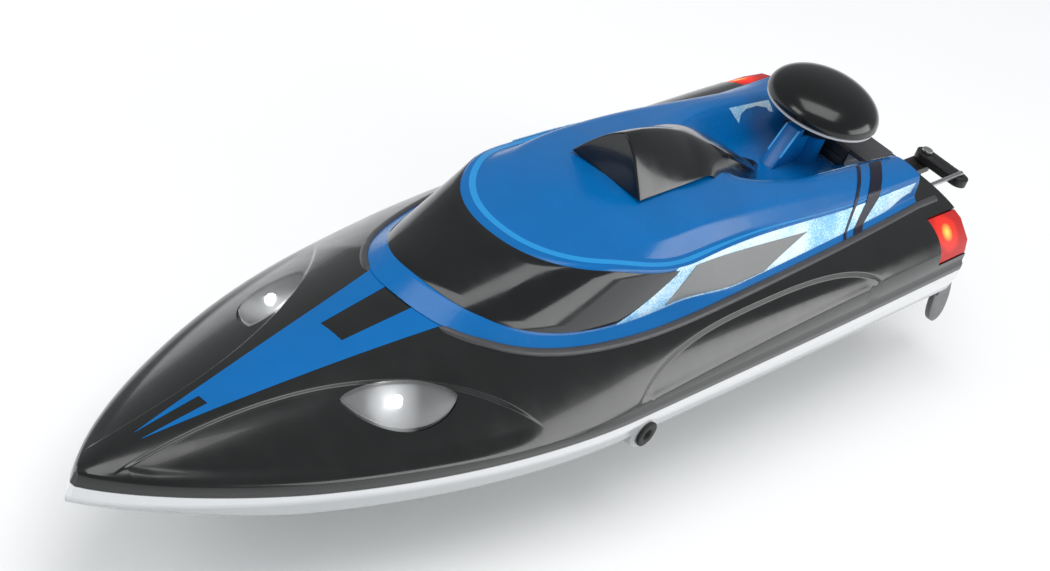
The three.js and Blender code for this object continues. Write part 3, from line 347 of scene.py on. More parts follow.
def bore(radius, low, high, axis, at, segments=32):
    """A cylinder to cut with, from low to high along its axis."""
    return turned("bore", [[0, low], [radius, low], [radius, high], [0, high]], segments, axis, at)


def apply_modifiers(obj):
    """Replaces the object's mesh with what its modifiers make of it."""
    depsgraph = bpy.context.evaluated_depsgraph_get()
    mesh = bpy.data.meshes.new_from_object(obj.evaluated_get(depsgraph))
    obj.modifiers.clear()
    obj.data = mesh
    return obj


def combine(obj, other, operation="DIFFERENCE"):
    """Cuts other out of obj, or keeps only what both hold, and removes other."""
    modifier = obj.modifiers.new("combine", "BOOLEAN")
    modifier.operation = operation
    modifier.object = other
    modifier.solver = "EXACT"
    apply_modifiers(obj)
    bpy.data.objects.remove(other)
    return obj


def thicken(obj, thickness):
    """Gives a surface a wall of this thickness on its inner side."""
    modifier = obj.modifiers.new("wall", "SOLIDIFY")
    modifier.thickness = thickness / 1000
    modifier.offset = -1
    modifier.use_even_offset = True
    return apply_modifiers(obj)


def bevel(obj, width, segments=2, angle=35):
    """Rounds every edge sharper than the angle."""
    modifier = obj.modifiers.new("bevel", "BEVEL")
    modifier.width = width / 1000
    modifier.segments = segments
    modifier.limit_method = "ANGLE"
    modifier.angle_limit = math.radians(angle)
    modifier.use_clamp_overlap = True
    return apply_modifiers(obj)


def shade(obj, angle=32):
    obj.data.shade_smooth()
    obj.data.set_sharp_from_angle(angle=math.radians(angle))
    return obj


def finish_piece(obj, body, slot, material, replaces=(), angle=32):
    """Shades a piece, gives it its material, and says its body and the CAD nodes it replaces. The slot
    argument is not used.
    """
    shade(obj, angle)
    obj.data.materials.clear()
    obj.data.materials.append(material)
    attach(obj, body)
    for node in replaces:
        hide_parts(node)
    return obj


def copy_of(node, name):
    """A free copy of a CAD node's mesh, welded, to refine."""
    source = frame["nodes"][node]
    obj = bpy.data.objects.new(name, source.data.copy())
    bpy.context.scene.collection.objects.link(obj)
    bm = bmesh.new()
    bm.from_mesh(obj.data)
    bmesh.ops.remove_doubles(bm, verts=bm.verts, dist=2e-6)
    bmesh.ops.dissolve_limit(bm, angle_limit=math.radians(1), verts=bm.verts, edges=bm.edges)
    bm.to_mesh(obj.data)
    bm.free()
    return obj


def stadium(x0, x1, half, corner, count=10):
    """A rectangle with round corners, as [x, y] points."""
    points = []
    for cx, cy, start in ((x1 - corner, half - corner, 0), (x0 + corner, half - corner, 90),
                          (x0 + corner, corner - half, 180), (x1 - corner, corner - half, 270)):
        for degrees in steps(start, start + 90, count):
            a = math.radians(degrees)
            points.append((cx + corner * math.cos(a), cy + corner * math.sin(a)))
    return points


def column(name, outline, z0, z1):
    """An upright prism on an outline drawn in x and y."""
    return loft(name, [[Vector((x, y, z)) for x, y in outline] for z in (z0, z1)])


def side_plate(name, outline, y0, y1):
    """A plate from y0 to y1 on an outline drawn in x and z."""
    return loft(name, [[Vector((x, y, z)) for x, z in outline] for y in (y0, y1)])


def face_up(obj, axis="z"):
    """Turns an open surface over if it looks down, or against the given axis."""
    if sum(getattr(f.normal, axis) for f in obj.data.polygons) < 0:
        obj.data.flip_normals()
    return obj


def block(name, x0, x1, y0, y1, z0, z1):
    return column(name, [(x0, y0), (x1, y0), (x1, y1), (x0, y1)], z0, z1)


# ---------------------------------------------------------------- materials
ACRYLIC_IOR = 1.49


class Look:
    """A procedural material: a Principled shader with nodes for colour, roughness and relief."""

    def __init__(self, name, colour, roughness, metallic=0.0):
        self.material = bpy.data.materials.new(name)
        self.material.use_nodes = True
        self.tree = self.material.node_tree
        self.shader = self.tree.nodes["Principled BSDF"]
        self.shader.inputs["Metallic"].default_value = metallic
        self.colour = colour
        self.roughness = roughness
        self.coords = self.node("ShaderNodeTexCoord").outputs["Object"]
        self.relief = None

    def node(self, kind, **settings):
        node = self.tree.nodes.new(kind)
        for key, value in settings.items():
            setattr(node, key, value)
        return node

    def link(self, a, b):
        self.tree.links.new(a, b)

    def set(self, **values):
        """Sets uniform values on the shader's own sockets."""
        for key, value in values.items():
            self.shader.inputs[key.replace("_", " ")].default_value = value
        return self

    def noise(self, scale, detail=3.0, rough=0.6, stretch=None):
        noise = self.node("ShaderNodeTexNoise")
        noise.inputs["Scale"].default_value = scale
        noise.inputs["Detail"].default_value = detail
        noise.inputs["Roughness"].default_value = rough
        if stretch:
            mapping = self.node("ShaderNodeMapping")
            mapping.inputs["Scale"].default_value = stretch
            self.link(self.coords, mapping.inputs["Vector"])
            self.link(mapping.outputs["Vector"], noise.inputs["Vector"])
        else:
            self.link(self.coords, noise.inputs["Vector"])
        return noise.outputs["Fac"]

    def ramp(self, factor, stops):
        """Colour from a factor, by (position, colour) stops."""
        ramp = self.node("ShaderNodeValToRGB")
        elements = ramp.color_ramp.elements
        while len(elements) < len(stops):
            elements.new(0.5)
        for element, (position, colour) in zip(elements, stops):
            element.position = position
            element.color = (*colour, 1.0)
        self.link(factor, ramp.inputs["Fac"])
        return ramp.outputs["Color"]

    def tinted(self, scale=60.0, spread=0.08, detail=4.0, stretch=None):
        """Colour that varies a little over the surface."""
        dark = [c * (1 - spread) for c in self.colour]
        light = [min(1.0, c * (1 + spread)) for c in self.colour]
        colour = self.ramp(self.noise(scale, detail, stretch=stretch), [(0.3, dark), (0.7, light)])
        self.link(colour, self.shader.inputs["Base Color"])
        return self

    def worn(self, scale=90.0, spread=0.05):
        """Roughness that varies with faint handling marks."""
        low, high = max(0.02, self.roughness - spread), self.roughness + spread
        grey = self.ramp(self.noise(scale, 5.0), [(0.3, [low] * 3), (0.75, [high] * 3)])
        self.link(grey, self.shader.inputs["Roughness"])
        return self

    def bumpy(self, scale=400.0, strength=0.05, depth=0.0002, detail=2.0, stretch=None):
        """Fine relief; a second call adds to the first."""
        bump = self.node("ShaderNodeBump")
        bump.inputs["Strength"].default_value = strength
        bump.inputs["Distance"].default_value = depth
        self.link(self.noise(scale, detail, stretch=stretch), bump.inputs["Height"])
        if self.relief:
            self.link(self.relief, bump.inputs["Normal"])
        self.relief = bump.outputs["Normal"]
        self.link(self.relief, self.shader.inputs["Normal"])
        return self


def painted(name, colour, roughness, spread=0.05, coat=0.0, specular=0.5):
    """Glossy paint or plastic."""
    look = Look(name, colour, roughness).tinted(45, spread).worn(120, min(0.04, roughness / 3))
    look.bumpy(260, 0.015, 0.0001)
    look.set(Coat_Weight=coat, Coat_Roughness=0.04, Specular_IOR_Level=specular)
    return look.material


def moulded(name, colour, roughness=0.45, spread=0.12):
    """Satin plastic with a fine moulded grain."""
    look = Look(name, colour, roughness).tinted(80, spread).worn(150, 0.08)
    return look.bumpy(1800, 0.25, 0.00015, 1.0).material


def metal(name, colour, roughness=0.28, stretch=(1, 12, 12)):
    """Metal with faint lines drawn along x."""
    look = Look(name, colour, roughness, 1.0).tinted(120, 0.12, stretch=stretch).worn(160, 0.08)
    return look.bumpy(900, 0.12, 0.0001, 2.0, stretch=stretch).material


def lens(name, colour, roughness, transmission):
    """Clear or tinted acrylic, still open to more nodes."""
    look = Look(name, colour, roughness).tinted(70, 0.05).bumpy(500, 0.04, 0.0001)
    return look.set(Transmission_Weight=transmission, IOR=ACRYLIC_IOR)


SHADE_BELOW, LIT_ABOVE = 0.0320, 0.0345  # heights in m between which the hull's painted shade turns to its lit white


def shaded_hull_paint(name):
    """White on the upright rim, turning to a painted shade of grey on the sides that lean in below it."""
    look = Look(name, (0.80, 0.81, 0.82), 0.22)
    height = look.node("ShaderNodeSeparateXYZ")
    look.link(look.coords, height.inputs[0])
    wander = look.node("ShaderNodeMath", operation="MULTIPLY_ADD")
    look.link(look.noise(30), wander.inputs[0])
    wander.inputs[1].default_value = 0.0008
    look.link(height.outputs["Z"], wander.inputs[2])
    rim = look.node("ShaderNodeMapRange")
    look.link(wander.outputs["Value"], rim.inputs["Value"])
    rim.inputs["From Min"].default_value = SHADE_BELOW
    rim.inputs["From Max"].default_value = LIT_ABOVE
    # painted shade: the leaning sides below the rim are a darker grey than the white rim, as if in shade
    colour = look.ramp(rim.outputs["Result"], [(0.0, (0.42, 0.44, 0.445)), (1.0, (0.70, 0.71, 0.72))])
    look.link(colour, look.shader.inputs["Base Color"])
    look.worn(120, 0.04).bumpy(260, 0.03, 0.0001)
    look.set(Coat_Weight=0.3, Coat_Roughness=0.04)
    return look.material


BLUE = (0.0, 0.122, 0.375)
BLACK = (0.0075, 0.0085, 0.0085)
# the hull's material has painted shade: darker grey on the sides below the rim
white = shaded_hull_paint("hull_white")
deck_black = painted("deck_black", BLACK, 0.20, 0.25, coat=0.25)
gloss_black = painted("gloss_black", (0.006, 0.007, 0.008), 0.14, 0.2, coat=0.15)
blue = painted("canopy_blue", BLUE, 0.26, 0.05, coat=0.1, specular=0.28)
band_blue = painted("band_blue", BLUE, 0.32, 0.05, specular=0.2)
# painted highlight: a lighter blue for the bright line along the roof's border
border_highlight_blue = painted("border_highlight_blue", (0.015, 0.25, 0.58), 0.30, 0.05, specular=0.3)
# painted highlight: a pale blue for the bright lines on the pylon's front edges
highlight_strip_blue = painted("highlight_strip_blue", (0.06, 0.42, 0.85), 0.30, 0.05, specular=0.3)
dome_black = painted("dome_black", (0.006, 0.007, 0.007), 0.2, 0.2, coat=0.1)
navy = painted("stripe_navy", (0.004, 0.004, 0.018), 0.3, 0.2)
window_grey = painted("window_grey", (0.20, 0.205, 0.205), 0.32, 0.04)
rail_grey = moulded("rail_grey", (0.055, 0.055, 0.06), 0.42, 0.08)
satin_black = moulded("satin_black", (0.014, 0.014, 0.015), 0.42)
light_grey = moulded("light_grey", (0.55, 0.56, 0.57), 0.35, 0.04)
fin_grey = moulded("fin_grey", (0.10, 0.105, 0.11), 0.4, 0.1)
rubber = moulded("rubber", (0.012, 0.012, 0.012), 0.65)
red_plastic = painted("red_plastic", (0.60, 0.02, 0.015), 0.3)
steel = metal("steel", (0.60, 0.60, 0.61))
brass = metal("brass", (0.72, 0.52, 0.24), 0.25)
aluminium = metal("aluminium", (0.62, 0.64, 0.68), 0.3)
silicone = lens("silicone", (0.75, 0.77, 0.78), 0.35, 0.4).material
cell_wrap = painted("cell_wrap", (0.02, 0.03, 0.05), 0.2, 0.2, coat=0.4)
strap = Look("strap", (0.02, 0.02, 0.022), 0.8).tinted(60, 0.3)
strap = strap.bumpy(2500, 0.6, 0.0003, stretch=(1, 6, 1)).material
board = painted("board", (0.01, 0.13, 0.05), 0.35, 0.3)
led_white = Look("led_white", (0.95, 0.95, 0.93), 0.3).tinted(200, 0.03).set(
    Emission_Color=(1, 1, 0.97, 1), Emission_Strength=6.0).material


def glowing(look, led, core, halo, reach, strength):
    """Adds light that falls off over a reach from the LED, from the core's colour through the halo's."""
    away = look.node("ShaderNodeVectorMath", operation="DISTANCE")
    away.inputs[1].default_value = place(led)
    look.link(look.coords, away.inputs[0])
    scaled = look.node("ShaderNodeMath", operation="DIVIDE")
    scaled.inputs[1].default_value = reach / 1000
    look.link(away.outputs["Value"], scaled.inputs[0])
    colour = look.ramp(scaled.outputs["Value"], [(0.0, core), (0.45, halo), (1.0, (0, 0, 0))])
    look.link(colour, look.shader.inputs["Emission Color"])
    return look.set(Emission_Strength=strength)


def painted_reflection_panel(name):
    """Painted reflection: pale blue with speckled glints, for the panel round the side windows, where the
    gloss paint shows a bright reflection.
    """
    look = Look(name, (0.36, 0.66, 0.88), 0.38, 0.25)
    glint_speckles = look.noise(1500, 1.0)
    clouds = look.noise(35, 2.0)
    both = look.node("ShaderNodeMath", operation="MULTIPLY_ADD")
    look.link(glint_speckles, both.inputs[0])
    both.inputs[1].default_value = 0.8
    look.link(clouds, both.inputs[2])
    stops = [(0.70, (0.16, 0.46, 0.80)), (0.86, (0.38, 0.70, 0.92)), (1.0, (0.75, 0.90, 0.98))]
    look.link(look.ramp(both.outputs["Value"], stops), look.shader.inputs["Base Color"])
    look.worn(200, 0.06).bumpy(1500, 0.10, 0.0001)
    return look.material


# painted reflection: this pale speckled blue stands in for bright reflections on the canopy's side and the
# trough's walls
painted_reflection_blue = painted_reflection_panel("painted_reflection_blue")

# ---------------------------------------------------------------- camera
# Fitted to the boat's outline, in the frame's metres.
AIM = Vector((0.0, 0.0, 0.040))
TO_CAMERA = Vector((0.78027, 0.38093, 0.49605))
CAMERA_RIGHT = Vector((-0.58371, 0.72837, 0.35883))
CAMERA_UP = Vector((-0.22462, -0.56954, 0.79068))
CAMERA_DISTANCE = 1.4978
SENSOR_WIDTH, FOCAL_LENGTH = 36, 140.1
CAMERA_SHIFT = (0.0171, 0.0268)


def add_camera():
    data = bpy.data.cameras.new("camera")
    data.sensor_width = SENSOR_WIDTH
    data.lens = FOCAL_LENGTH
    data.shift_x, data.shift_y = CAMERA_SHIFT
    camera = bpy.data.objects.new("camera", data)
    bpy.context.scene.collection.objects.link(camera)
    axes = Matrix((CAMERA_RIGHT, CAMERA_UP, TO_CAMERA)).transposed()
    camera.matrix_world = Matrix.Translation(AIM + TO_CAMERA * CAMERA_DISTANCE) @ axes.to_4x4()
    bpy.context.scene.camera = camera


# ---------------------------------------------------------------- hull
def hull_ring(x, inset=0.0):
    """The hull's closed section; an inset gives the hollow inside it, open at the top."""
    b, top, chine, keel = beam_at(x), joint_at(x), chine_at(x), keel_at(x)
    narrow = clamp(b / 20)
    pad = max(min(PAD, b * 0.2) - inset * 0.4, 0.2)
    foot = max(b - CHINE_IN * narrow - inset, 0.4)
    side = max(b - inset, 0.5)
    lift = inset * 1.1
    corners = [
        Vector((x, side, top + (5 if inset else 0))),
        Vector((x, side, top - RIM)),
        Vector((x, foot, chine + lift * 0.6)),
        Vector((x, mix(pad, foot, 0.5), mix(keel, chine, 0.44) + lift)),
        Vector((x, pad, keel + lift)),
        Vector((x, 0, keel + lift)),
    ]
    half = rounded(corners, (0.5, 0.7, 12, 0.5)) if not inset else corners
    return half + [Vector((p.x, -p.y, p.z)) for p in reversed(half[:-1])]


def bow_steps(first, last, count):
    """Stations that crowd together towards the bow, where the plan turns sharply."""
    return [mix(first, last, 1 - (1 - u) ** 1.5) for u in steps(0, 1, count)]


OUTLET = {"at": (223, 63.2, 28.5), "r": 3.9, "boss_r": 7.0}
INLET = {"at": (62, 20, 0), "r": 2.4}
SENSOR = {"x": 176, "y": 9, "r": 2.6}


def hull():
    shell = loft("hull_moulding", [hull_ring(x) for x in bow_steps(0, TIP, 150)])
    inside = loft("inside", [hull_ring(x, SKIN) for x in bow_steps(SKIN, SOLID_BOW, 50)])
    combine(shell, inside)
    combine(shell, bore(OUTLET["r"], -12, 12, "Y", OUTLET["at"]))
    combine(shell, bore(INLET["r"], -4, 20, "Z", INLET["at"], 24))
    for _, side in SIDES:
        combine(shell, bore(SENSOR["r"], -4, 17, "Z", (SENSOR["x"], side * SENSOR["y"], 0), 24))
    finish_piece(shell, "boat", "hull_white", white, ["hull_shell"])
    r, edge = OUTLET["r"], OUTLET["boss_r"]
    profile = [[r, -4], [edge, -4], [edge, 0.6], [edge - 0.6, 1.5], [edge - 1.6, 1.6], [r, 1.6], [r, -4]]
    boss = turned("outlet_boss", profile, 64, "Y", OUTLET["at"])
    finish_piece(boss, "boat", "hull_white", white)


# ---------------------------------------------------------------- deck
def deck_ring(x, inset=0.0, count=84):
    """The deck's closed section; an inset gives the hollow under it, open below."""
    b = beam_at(x)
    foot = joint_at(x) + GAP
    side = max(b - inset, 0.4)
    half = [Vector((x, side, foot - (5 if inset else 0)))]
    if not inset:
        half.append(Vector((x, side, foot + 1.5)))
    half.append(Vector((x, max(side - 0.15, 0.35), foot + band_at(x) - GAP - 1.2 - inset * 0.5)))
    ys = []
    edge, step = deck_edge_at(x), step_at(x)
    narrow = edge - step < 4  # a narrow strip has its points crowded to the step, a wide one to the edge
    for q in steps(0, 1, count // 2):
        ys.append(mix(edge, step + 0.5, 1 - (1 - q) ** 2.2 if narrow else q**1.6))
    ys += [step + d for d in (0.38, 0.25, 0.12, 0, -0.12, -0.25, -0.38)]
    ys += [mix(step - 0.5, 0, q) for q in steps(0, 1, count // 2)]
    for y in ys:
        y = max(y, 0.0)
        top = deck_at(x, y) if inset else top_at(x, y)
        half.append(Vector((x, max(y - inset * y / max(edge, 1), 0.0), top - inset)))
    return half + [Vector((p.x, -p.y, p.z)) for p in reversed(half[:-1])]


HEADLIGHT = {"x": 345.5, "y": 30, "long": 25, "wide": 9.5, "turn": -0.33, "led": (347, 30.5, 56.5)}


def headlight_outline(side, grow=0.0, count=48):
    """A half-moon in plan, its straight edge towards the middle of the deck."""
    points = []
    for k in range(count):
        a = 2 * math.pi * k / count
        u = (HEADLIGHT["long"] + grow) * math.cos(a)
        flat = 1.0 if math.sin(a) > 0 else 0.5
        bulge = math.copysign(abs(math.sin(a)) ** 1.4, math.sin(a))
        v = HEADLIGHT["wide"] * flat * bulge + grow * math.sin(a)
        turn = HEADLIGHT["turn"]
        x = HEADLIGHT["x"] + u * math.cos(turn) - v * math.sin(turn)
        y = HEADLIGHT["y"] + u * math.sin(turn) + v * math.cos(turn)
        points.append((x, side * y))
    return points if side > 0 else list(reversed(points))


WELL = {"aft": 112, "fore": 296, "half": 36, "corner": 28}
SERVO_SLOT = {"aft": 40.8, "fore": 67.2, "half": 3.6}
PUSHROD_BORE = {"at": (0, 29.3, 58), "r": 4.5}
TAIL_CORNER = {"x": 22.3, "y": 48.7, "z": 48.7}  # the pockets that the tail lights fill
CUT_BELOW, CUT_ABOVE = 20, 120  # a column between these heights goes right through the deck


def well_outline(grow=0.0):
    return stadium(WELL["aft"] - grow, WELL["fore"] + grow, WELL["half"] + grow, WELL["corner"] + grow)


def deck():
    shell = loft("deck_moulding", [deck_ring(x) for x in bow_steps(0, TIP, 300)])
    inside = loft("inside", [deck_ring(x, SKIN, 20) for x in bow_steps(SKIN, SOLID_BOW, 60)])
    combine(shell, inside)
    combine(shell, column("well", well_outline(0.1), CUT_BELOW, CUT_ABOVE))
    for _, side in SIDES:
        combine(shell, column("lamp", headlight_outline(side, GAP), CUT_BELOW, 90))
        y0, y1 = sorted((side * TAIL_CORNER["y"], side * (BEAM + 7)))
        combine(shell, block("corner", -2, TAIL_CORNER["x"], y0, y1, TAIL_CORNER["z"], 80))
    half = SERVO_SLOT["half"]
    combine(shell, block("slot", SERVO_SLOT["aft"], SERVO_SLOT["fore"], -half, half, 50, 80))
    combine(shell, bore(PUSHROD_BORE["r"], -8, 8, "X", PUSHROD_BORE["at"]))
    finish_piece(shell, "boat", "deck_black", deck_black, ["deck_shell"], angle=40)
    well = copy_of("deck_shell", "hatch_well")  # the well's walls and floor keep the shape of the CAD node
    combine(well, column("keep", well_outline(), CUT_BELOW, CUT_ABOVE), "INTERSECT")
    bevel(well, 0.3)
    finish_piece(well, "boat", "deck_black", satin_black)


def deck_patch(name, stretches, lift=0.12, thickness=0.25):
    """A thin film on the deck, in stretches of (x from, x to, inner edge, outer edge) for both sides."""
    points, faces = [], []
    for x0, x1, inner, outer in stretches:
        for side in (1, -1):
            rows = []
            for x in steps(x0, x1, 40):
                a, b = inner(x), outer(x)
                rows.append([Vector((x, side * mix(a, b, u), deck_at(x, mix(a, b, u)) + lift))
                             for u in steps(0, 1, 10)])
            more, quads = grid(rows)
            faces += [tuple(i + len(points) for i in quad) for quad in quads]
            points += more
    return thicken(face_up(new_object(name, points, faces)), thickness)


# Stations of the foredeck's stripe: under the canopy, its root, the dark block in it, and its two prongs.
STRIPE = {"hidden": 300, "root": 313.9, "block_aft": 318.0, "block_fore": 353.7,
          "notch": 416.6, "tips": 446.6}


def stripe_part(aft, fore, half_aft, half_fore, power=1.0):
    """A half-width that narrows from one of the stripe's stations to another."""
    start, length = STRIPE[aft], STRIPE[fore] - STRIPE[aft]
    return lambda x: mix(half_aft, half_fore, clamp((x - start) / length) ** power)


def foredeck_stripe():
    stripe_half = stripe_part("root", "tips", 17.2, 1.8, 0.93)
    block_half = stripe_part("block_aft", "block_fore", 6.4, 5.1)
    notch_half = stripe_part("notch", "tips", 2.1, 1.7)

    def none(x):
        return 0.0

    patch = deck_patch("foredeck_stripe", [
        (STRIPE["hidden"], STRIPE["block_aft"], none, stripe_half),
        (STRIPE["block_aft"], STRIPE["block_fore"], block_half, stripe_half),
        (STRIPE["block_fore"], STRIPE["notch"], none, stripe_half),
        (STRIPE["notch"], STRIPE["tips"], notch_half, stripe_half),
    ])
    finish_piece(patch, "boat", "canopy_blue", band_blue)


RAIL = {"r": 1.5, "height": 1.3, "out": 0.7, "sink": 0.3}


def deck_rail():
    """The dark moulded rail that the canopy's lower edge sits inside; it sinks away under the stripe."""
    path = []
    for t in steps(0, 1, 160):
        x, y = plan_at("edge", t)
        path.append(Vector((x, y, 0)))
    path += [Vector((x, edge_half(x), 0)) for x in (17, 12, 7)]  # on past the canopy's stern end
    path = [Vector((p.x, -p.y, 0)) for p in reversed(path[1:])] + path
    rings = []
    for i, p in enumerate(path):
        ahead = (path[min(i + 1, len(path) - 1)] - path[max(i - 1, 0)]).normalized()
        out = Vector((ahead.y, -ahead.x, 0))
        size = mix(0.1, 1, smooth(abs(p.y), 14, 20)) if p.x > STRIPE["hidden"] else 1
        foot = deck_at(p.x, p.y) - RAIL["sink"] - 0.9 * (1 - size)
        ring = []
        for a in steps(0, 2 * math.pi, 16)[:-1]:
            q = p + out * size * (RAIL["out"] + RAIL["r"] * math.cos(a))
            lift = RAIL["height"] * math.sin(a) - RAIL["sink"] * math.cos(a)
            ring.append(Vector((q.x, q.y, foot + size * lift)))
        rings.append(ring)
    finish_piece(loft("deck_rail", rings), "boat", "satin_black", rail_grey)


# ---------------------------------------------------------------- canopy
CUTS = (0.7, 1.3, 1.0, 2.6, 4.0, 4.0)  # how far each corner of the section is rounded, sill to foot
CANOPY_SKIN = 1.8
STEM_BORE = 3.3
POST = {"foot": 68, "top": 82, "r": 7.0, "flange": 8.2}
PYLON_HALF = 3.3
PYLON_OUTLINE = [(DOME["x"], 69), (80, 69), (76.3, 75), (70.8, 86), (66.6, 86), (66.6, 82), (DOME["x"], 82)]
# the pale strips on the pylon's front edges are painted highlights
PYLON_HIGHLIGHT = [(76.9, 74.5), (76.1, 74.5), (70.4, 86), (71.2, 86)]


def canopy_section(t):
    """Points up the canopy's port side at t, from its lower edge to the middle line."""
    return rounded([line_point(name, t) for name in FEATURES], CUTS)


def both_sides(ts, row_of):
    """Rows from starboard aft, round the front, to port aft."""
    port = [row_of(t) for t in ts]
    starboard = [[Vector((p.x, -p.y, p.z)) for p in row] for row in reversed(port[1:])]
    return starboard + port


def canopy():
    ts = steps(0, T_SIDE, 64) + steps(T_SIDE, 1, 80)[1:]
    rows = both_sides(ts, canopy_section)
    points, faces = grid(rows)
    width = len(rows[0])
    last = (len(rows) - 1) * width
    faces.append((*range(last, last + width), *reversed(range(width))))  # closes the stern end
    shell = new_object("canopy_moulding", points, faces)
    if max(shell.data.polygons, key=lambda f: f.center.z).normal.z < 0:
        shell.data.flip_normals()
    thicken(shell, CANOPY_SKIN)
    combine(shell, bore(STEM_BORE, -20, 20, "Z", (DOME["x"], 0, 70)))
    finish_piece(shell, "canopy", "canopy_blue", blue, ["canopy_cover"], angle=40)


def knob_mounting():
    """The post under the knob, the slanted pylon ahead of it with painted highlights as pale strips on its
    front edges, and the riser behind.
    """
    foot, top, r = POST["foot"], POST["top"], POST["r"]
    profile = [[STEM_BORE, foot], [POST["flange"], foot], [r + 0.2, foot + 2.5], [r, foot + 6],
               [r, top - 0.6], [r - 0.4, top], [STEM_BORE, top], [STEM_BORE, foot]]
    post = turned("knob_post", profile, 48, "Z", (DOME["x"], 0, 0))
    finish_piece(post, "canopy", "canopy_blue", blue)
    pylon = side_plate("knob_pylon", PYLON_OUTLINE, -PYLON_HALF, PYLON_HALF)
    combine(pylon, bore(r + 0.05, -20, 20, "Z", (DOME["x"], 0, 75), 48))
    bevel(pylon, 0.5, 3)
    finish_piece(pylon, "canopy", "canopy_blue", blue)
    # painted highlights: pale strips on the pylon's two front edges
    for name, side in SIDES:
        y0, y1 = sorted((side * (PYLON_HALF - 0.6), side * (PYLON_HALF + 0.15)))
        edge = side_plate(f"pylon_highlight_{name}", PYLON_HIGHLIGHT, y0, y1)
        bevel(edge, 0.12, 2)
        finish_piece(edge, "canopy", "canopy_blue", highlight_strip_blue)
    riser = block("panel_riser", 43.5, 46.6, -15, 15, 70.6, 78.4)
    combine(riser, block("tread", 45.2, 50, -20, 20, 74.6, 80))
    bevel(riser, 0.4, 2)
    finish_piece(riser, "canopy", "satin_black", satin_black)


def canopy_film(name, ts, rows, out, thickness):
    """A film on the canopy's skin over these rows of its section, from side to side round the front."""
    def row_of(t):
        here = canopy_section(t)
        ahead = canopy_section(min(t + 0.003, 1))
        behind = canopy_section(max(t - 0.003, 0))
        row = []
        for k in rows:
            normal = (ahead[k] - behind[k]).cross(here[k + 1] - here[k - 1]).normalized()
            row.append(here[k] + normal * out)
        return row

    film = new_object(name, *grid(both_sides(ts, row_of)))
    if max(film.data.polygons, key=lambda f: f.center.x).normal.x < 0:
        film.data.flip_normals()
    return thicken(film, thickness)


BORDER_ROWS = range(15, 17)  # the rows of the canopy's section on the upright border under its roof
BORDER_END_T = 0.93


def roof_border_highlight():
    """A painted highlight: a lighter blue line along the upright border between the canopy's sides and its
    roof.
    """
    border = canopy_film("roof_border_highlight", steps(0, BORDER_END_T, 150), BORDER_ROWS, 0.10, 0.2)
    finish_piece(border, "canopy", "canopy_blue", border_highlight_blue)


def side_panel(name, stations, lower, upper, out, thickness, rows=8):
    """A thin panel on the canopy's side, between two borders that give (t, v) at each station."""
    lines = []
    for w in stations:
        (t0, v0), (t1, v1) = lower(w), upper(w)
        lines.append([side_point(mix(t0, t1, u), mix(v0, v1, u), out) for u in steps(0, 1, rows)])
    panel = new_object(name, *grid(lines))
    middle = panel.data.polygons[len(panel.data.polygons) // 2]
    if middle.normal.dot(middle.center - place(SPINE)) < 0:
        panel.data.flip_normals()
    thicken(panel, thickness)
    return bevel(panel, 0.12, 2, 60)


GLASS_T = 0.468  # where the windshield ends on each side
GLASS_RISE_T = 0.415  # where its foot starts to climb towards that end
GLASS_FOOT, GLASS_HEAD = 0.03, 0.94  # heights on the canopy's side, from sill (0) to knuckle (1)


def windshield():
    def foot(t):
        climb = clamp((abs(t) - GLASS_RISE_T) / (GLASS_T - GLASS_RISE_T)) ** 1.4
        return t, GLASS_FOOT + 0.8 * climb

    def head(t):
        return t, GLASS_HEAD

    glass = side_panel("windshield_glass", steps(-GLASS_T, GLASS_T, 160), foot, head, 0.2, 0.9)
    finish_piece(glass, "canopy", "canopy_black", gloss_black, ["windshield"])


def along_line(points, fraction):
    """The point at a fraction of a polyline's length, and the line's direction there."""
    lengths = [(b - a).length for a, b in zip(points, points[1:])]
    left = fraction * sum(lengths)
    for k, length in enumerate(lengths):
        if left <= length or k == len(lengths) - 1:
            a, b = points[k], points[k + 1]
            return a.lerp(b, left / length), (b - a).normalized()
        left -= length


def mirrored(obj, side):
    """The piece itself to port, and its mirror image to starboard."""
    if side < 0:
        obj.data.transform(Matrix.Scale(-1, 4, (0, 1, 0)))
        obj.data.flip_normals()
    return obj


# Ends of the window's and the pale painted-reflection panel's edges on the canopy's side, fore and aft, as
# (t, v).
WINDOW_LOWER = ((0.488, 0.06), (0.661, 0.03))
WINDOW_UPPER = ((0.503, 0.92), (0.748, 0.66))
REFLECTION_LOWER = (0.418, 0.985)  # t only: its foot lies on the sill, and climbs at the stern end
REFLECTION_UPPER = (0.462, 0.992)  # t only: its head lies on the knuckle


def side_windows():
    """The grey windows, on the pale speckled panel of painted reflection that frames them and runs on aft.
    """
    def between(ends):
        return lambda w: tuple(mix(a, b, w) for a, b in zip(*ends))

    def reflection_lower(w):
        return mix(*REFLECTION_LOWER, w), 0.45 * smooth(w, 0.90, 0.99)

    def reflection_upper(w):
        return mix(*REFLECTION_UPPER, w), 1.0

    for name, side in SIDES:
        lower, upper = between(WINDOW_LOWER), between(WINDOW_UPPER)
        window = side_panel(f"window_glass_{name}", steps(0, 1, 30), lower, upper, 0.42, 0.8)
        mirrored(window, side)
        finish_piece(window, "canopy", "window_grey", window_grey, [f"side_window_{name}"])
        # the pale panel is painted reflection on the canopy's side
        flash = side_panel(f"side_painted_reflection_{name}", steps(0, 1, 60), reflection_lower, reflection_upper, 0.15, 0.4)
        finish_piece(mirrored(flash, side), "canopy", "canopy_blue", painted_reflection_blue)


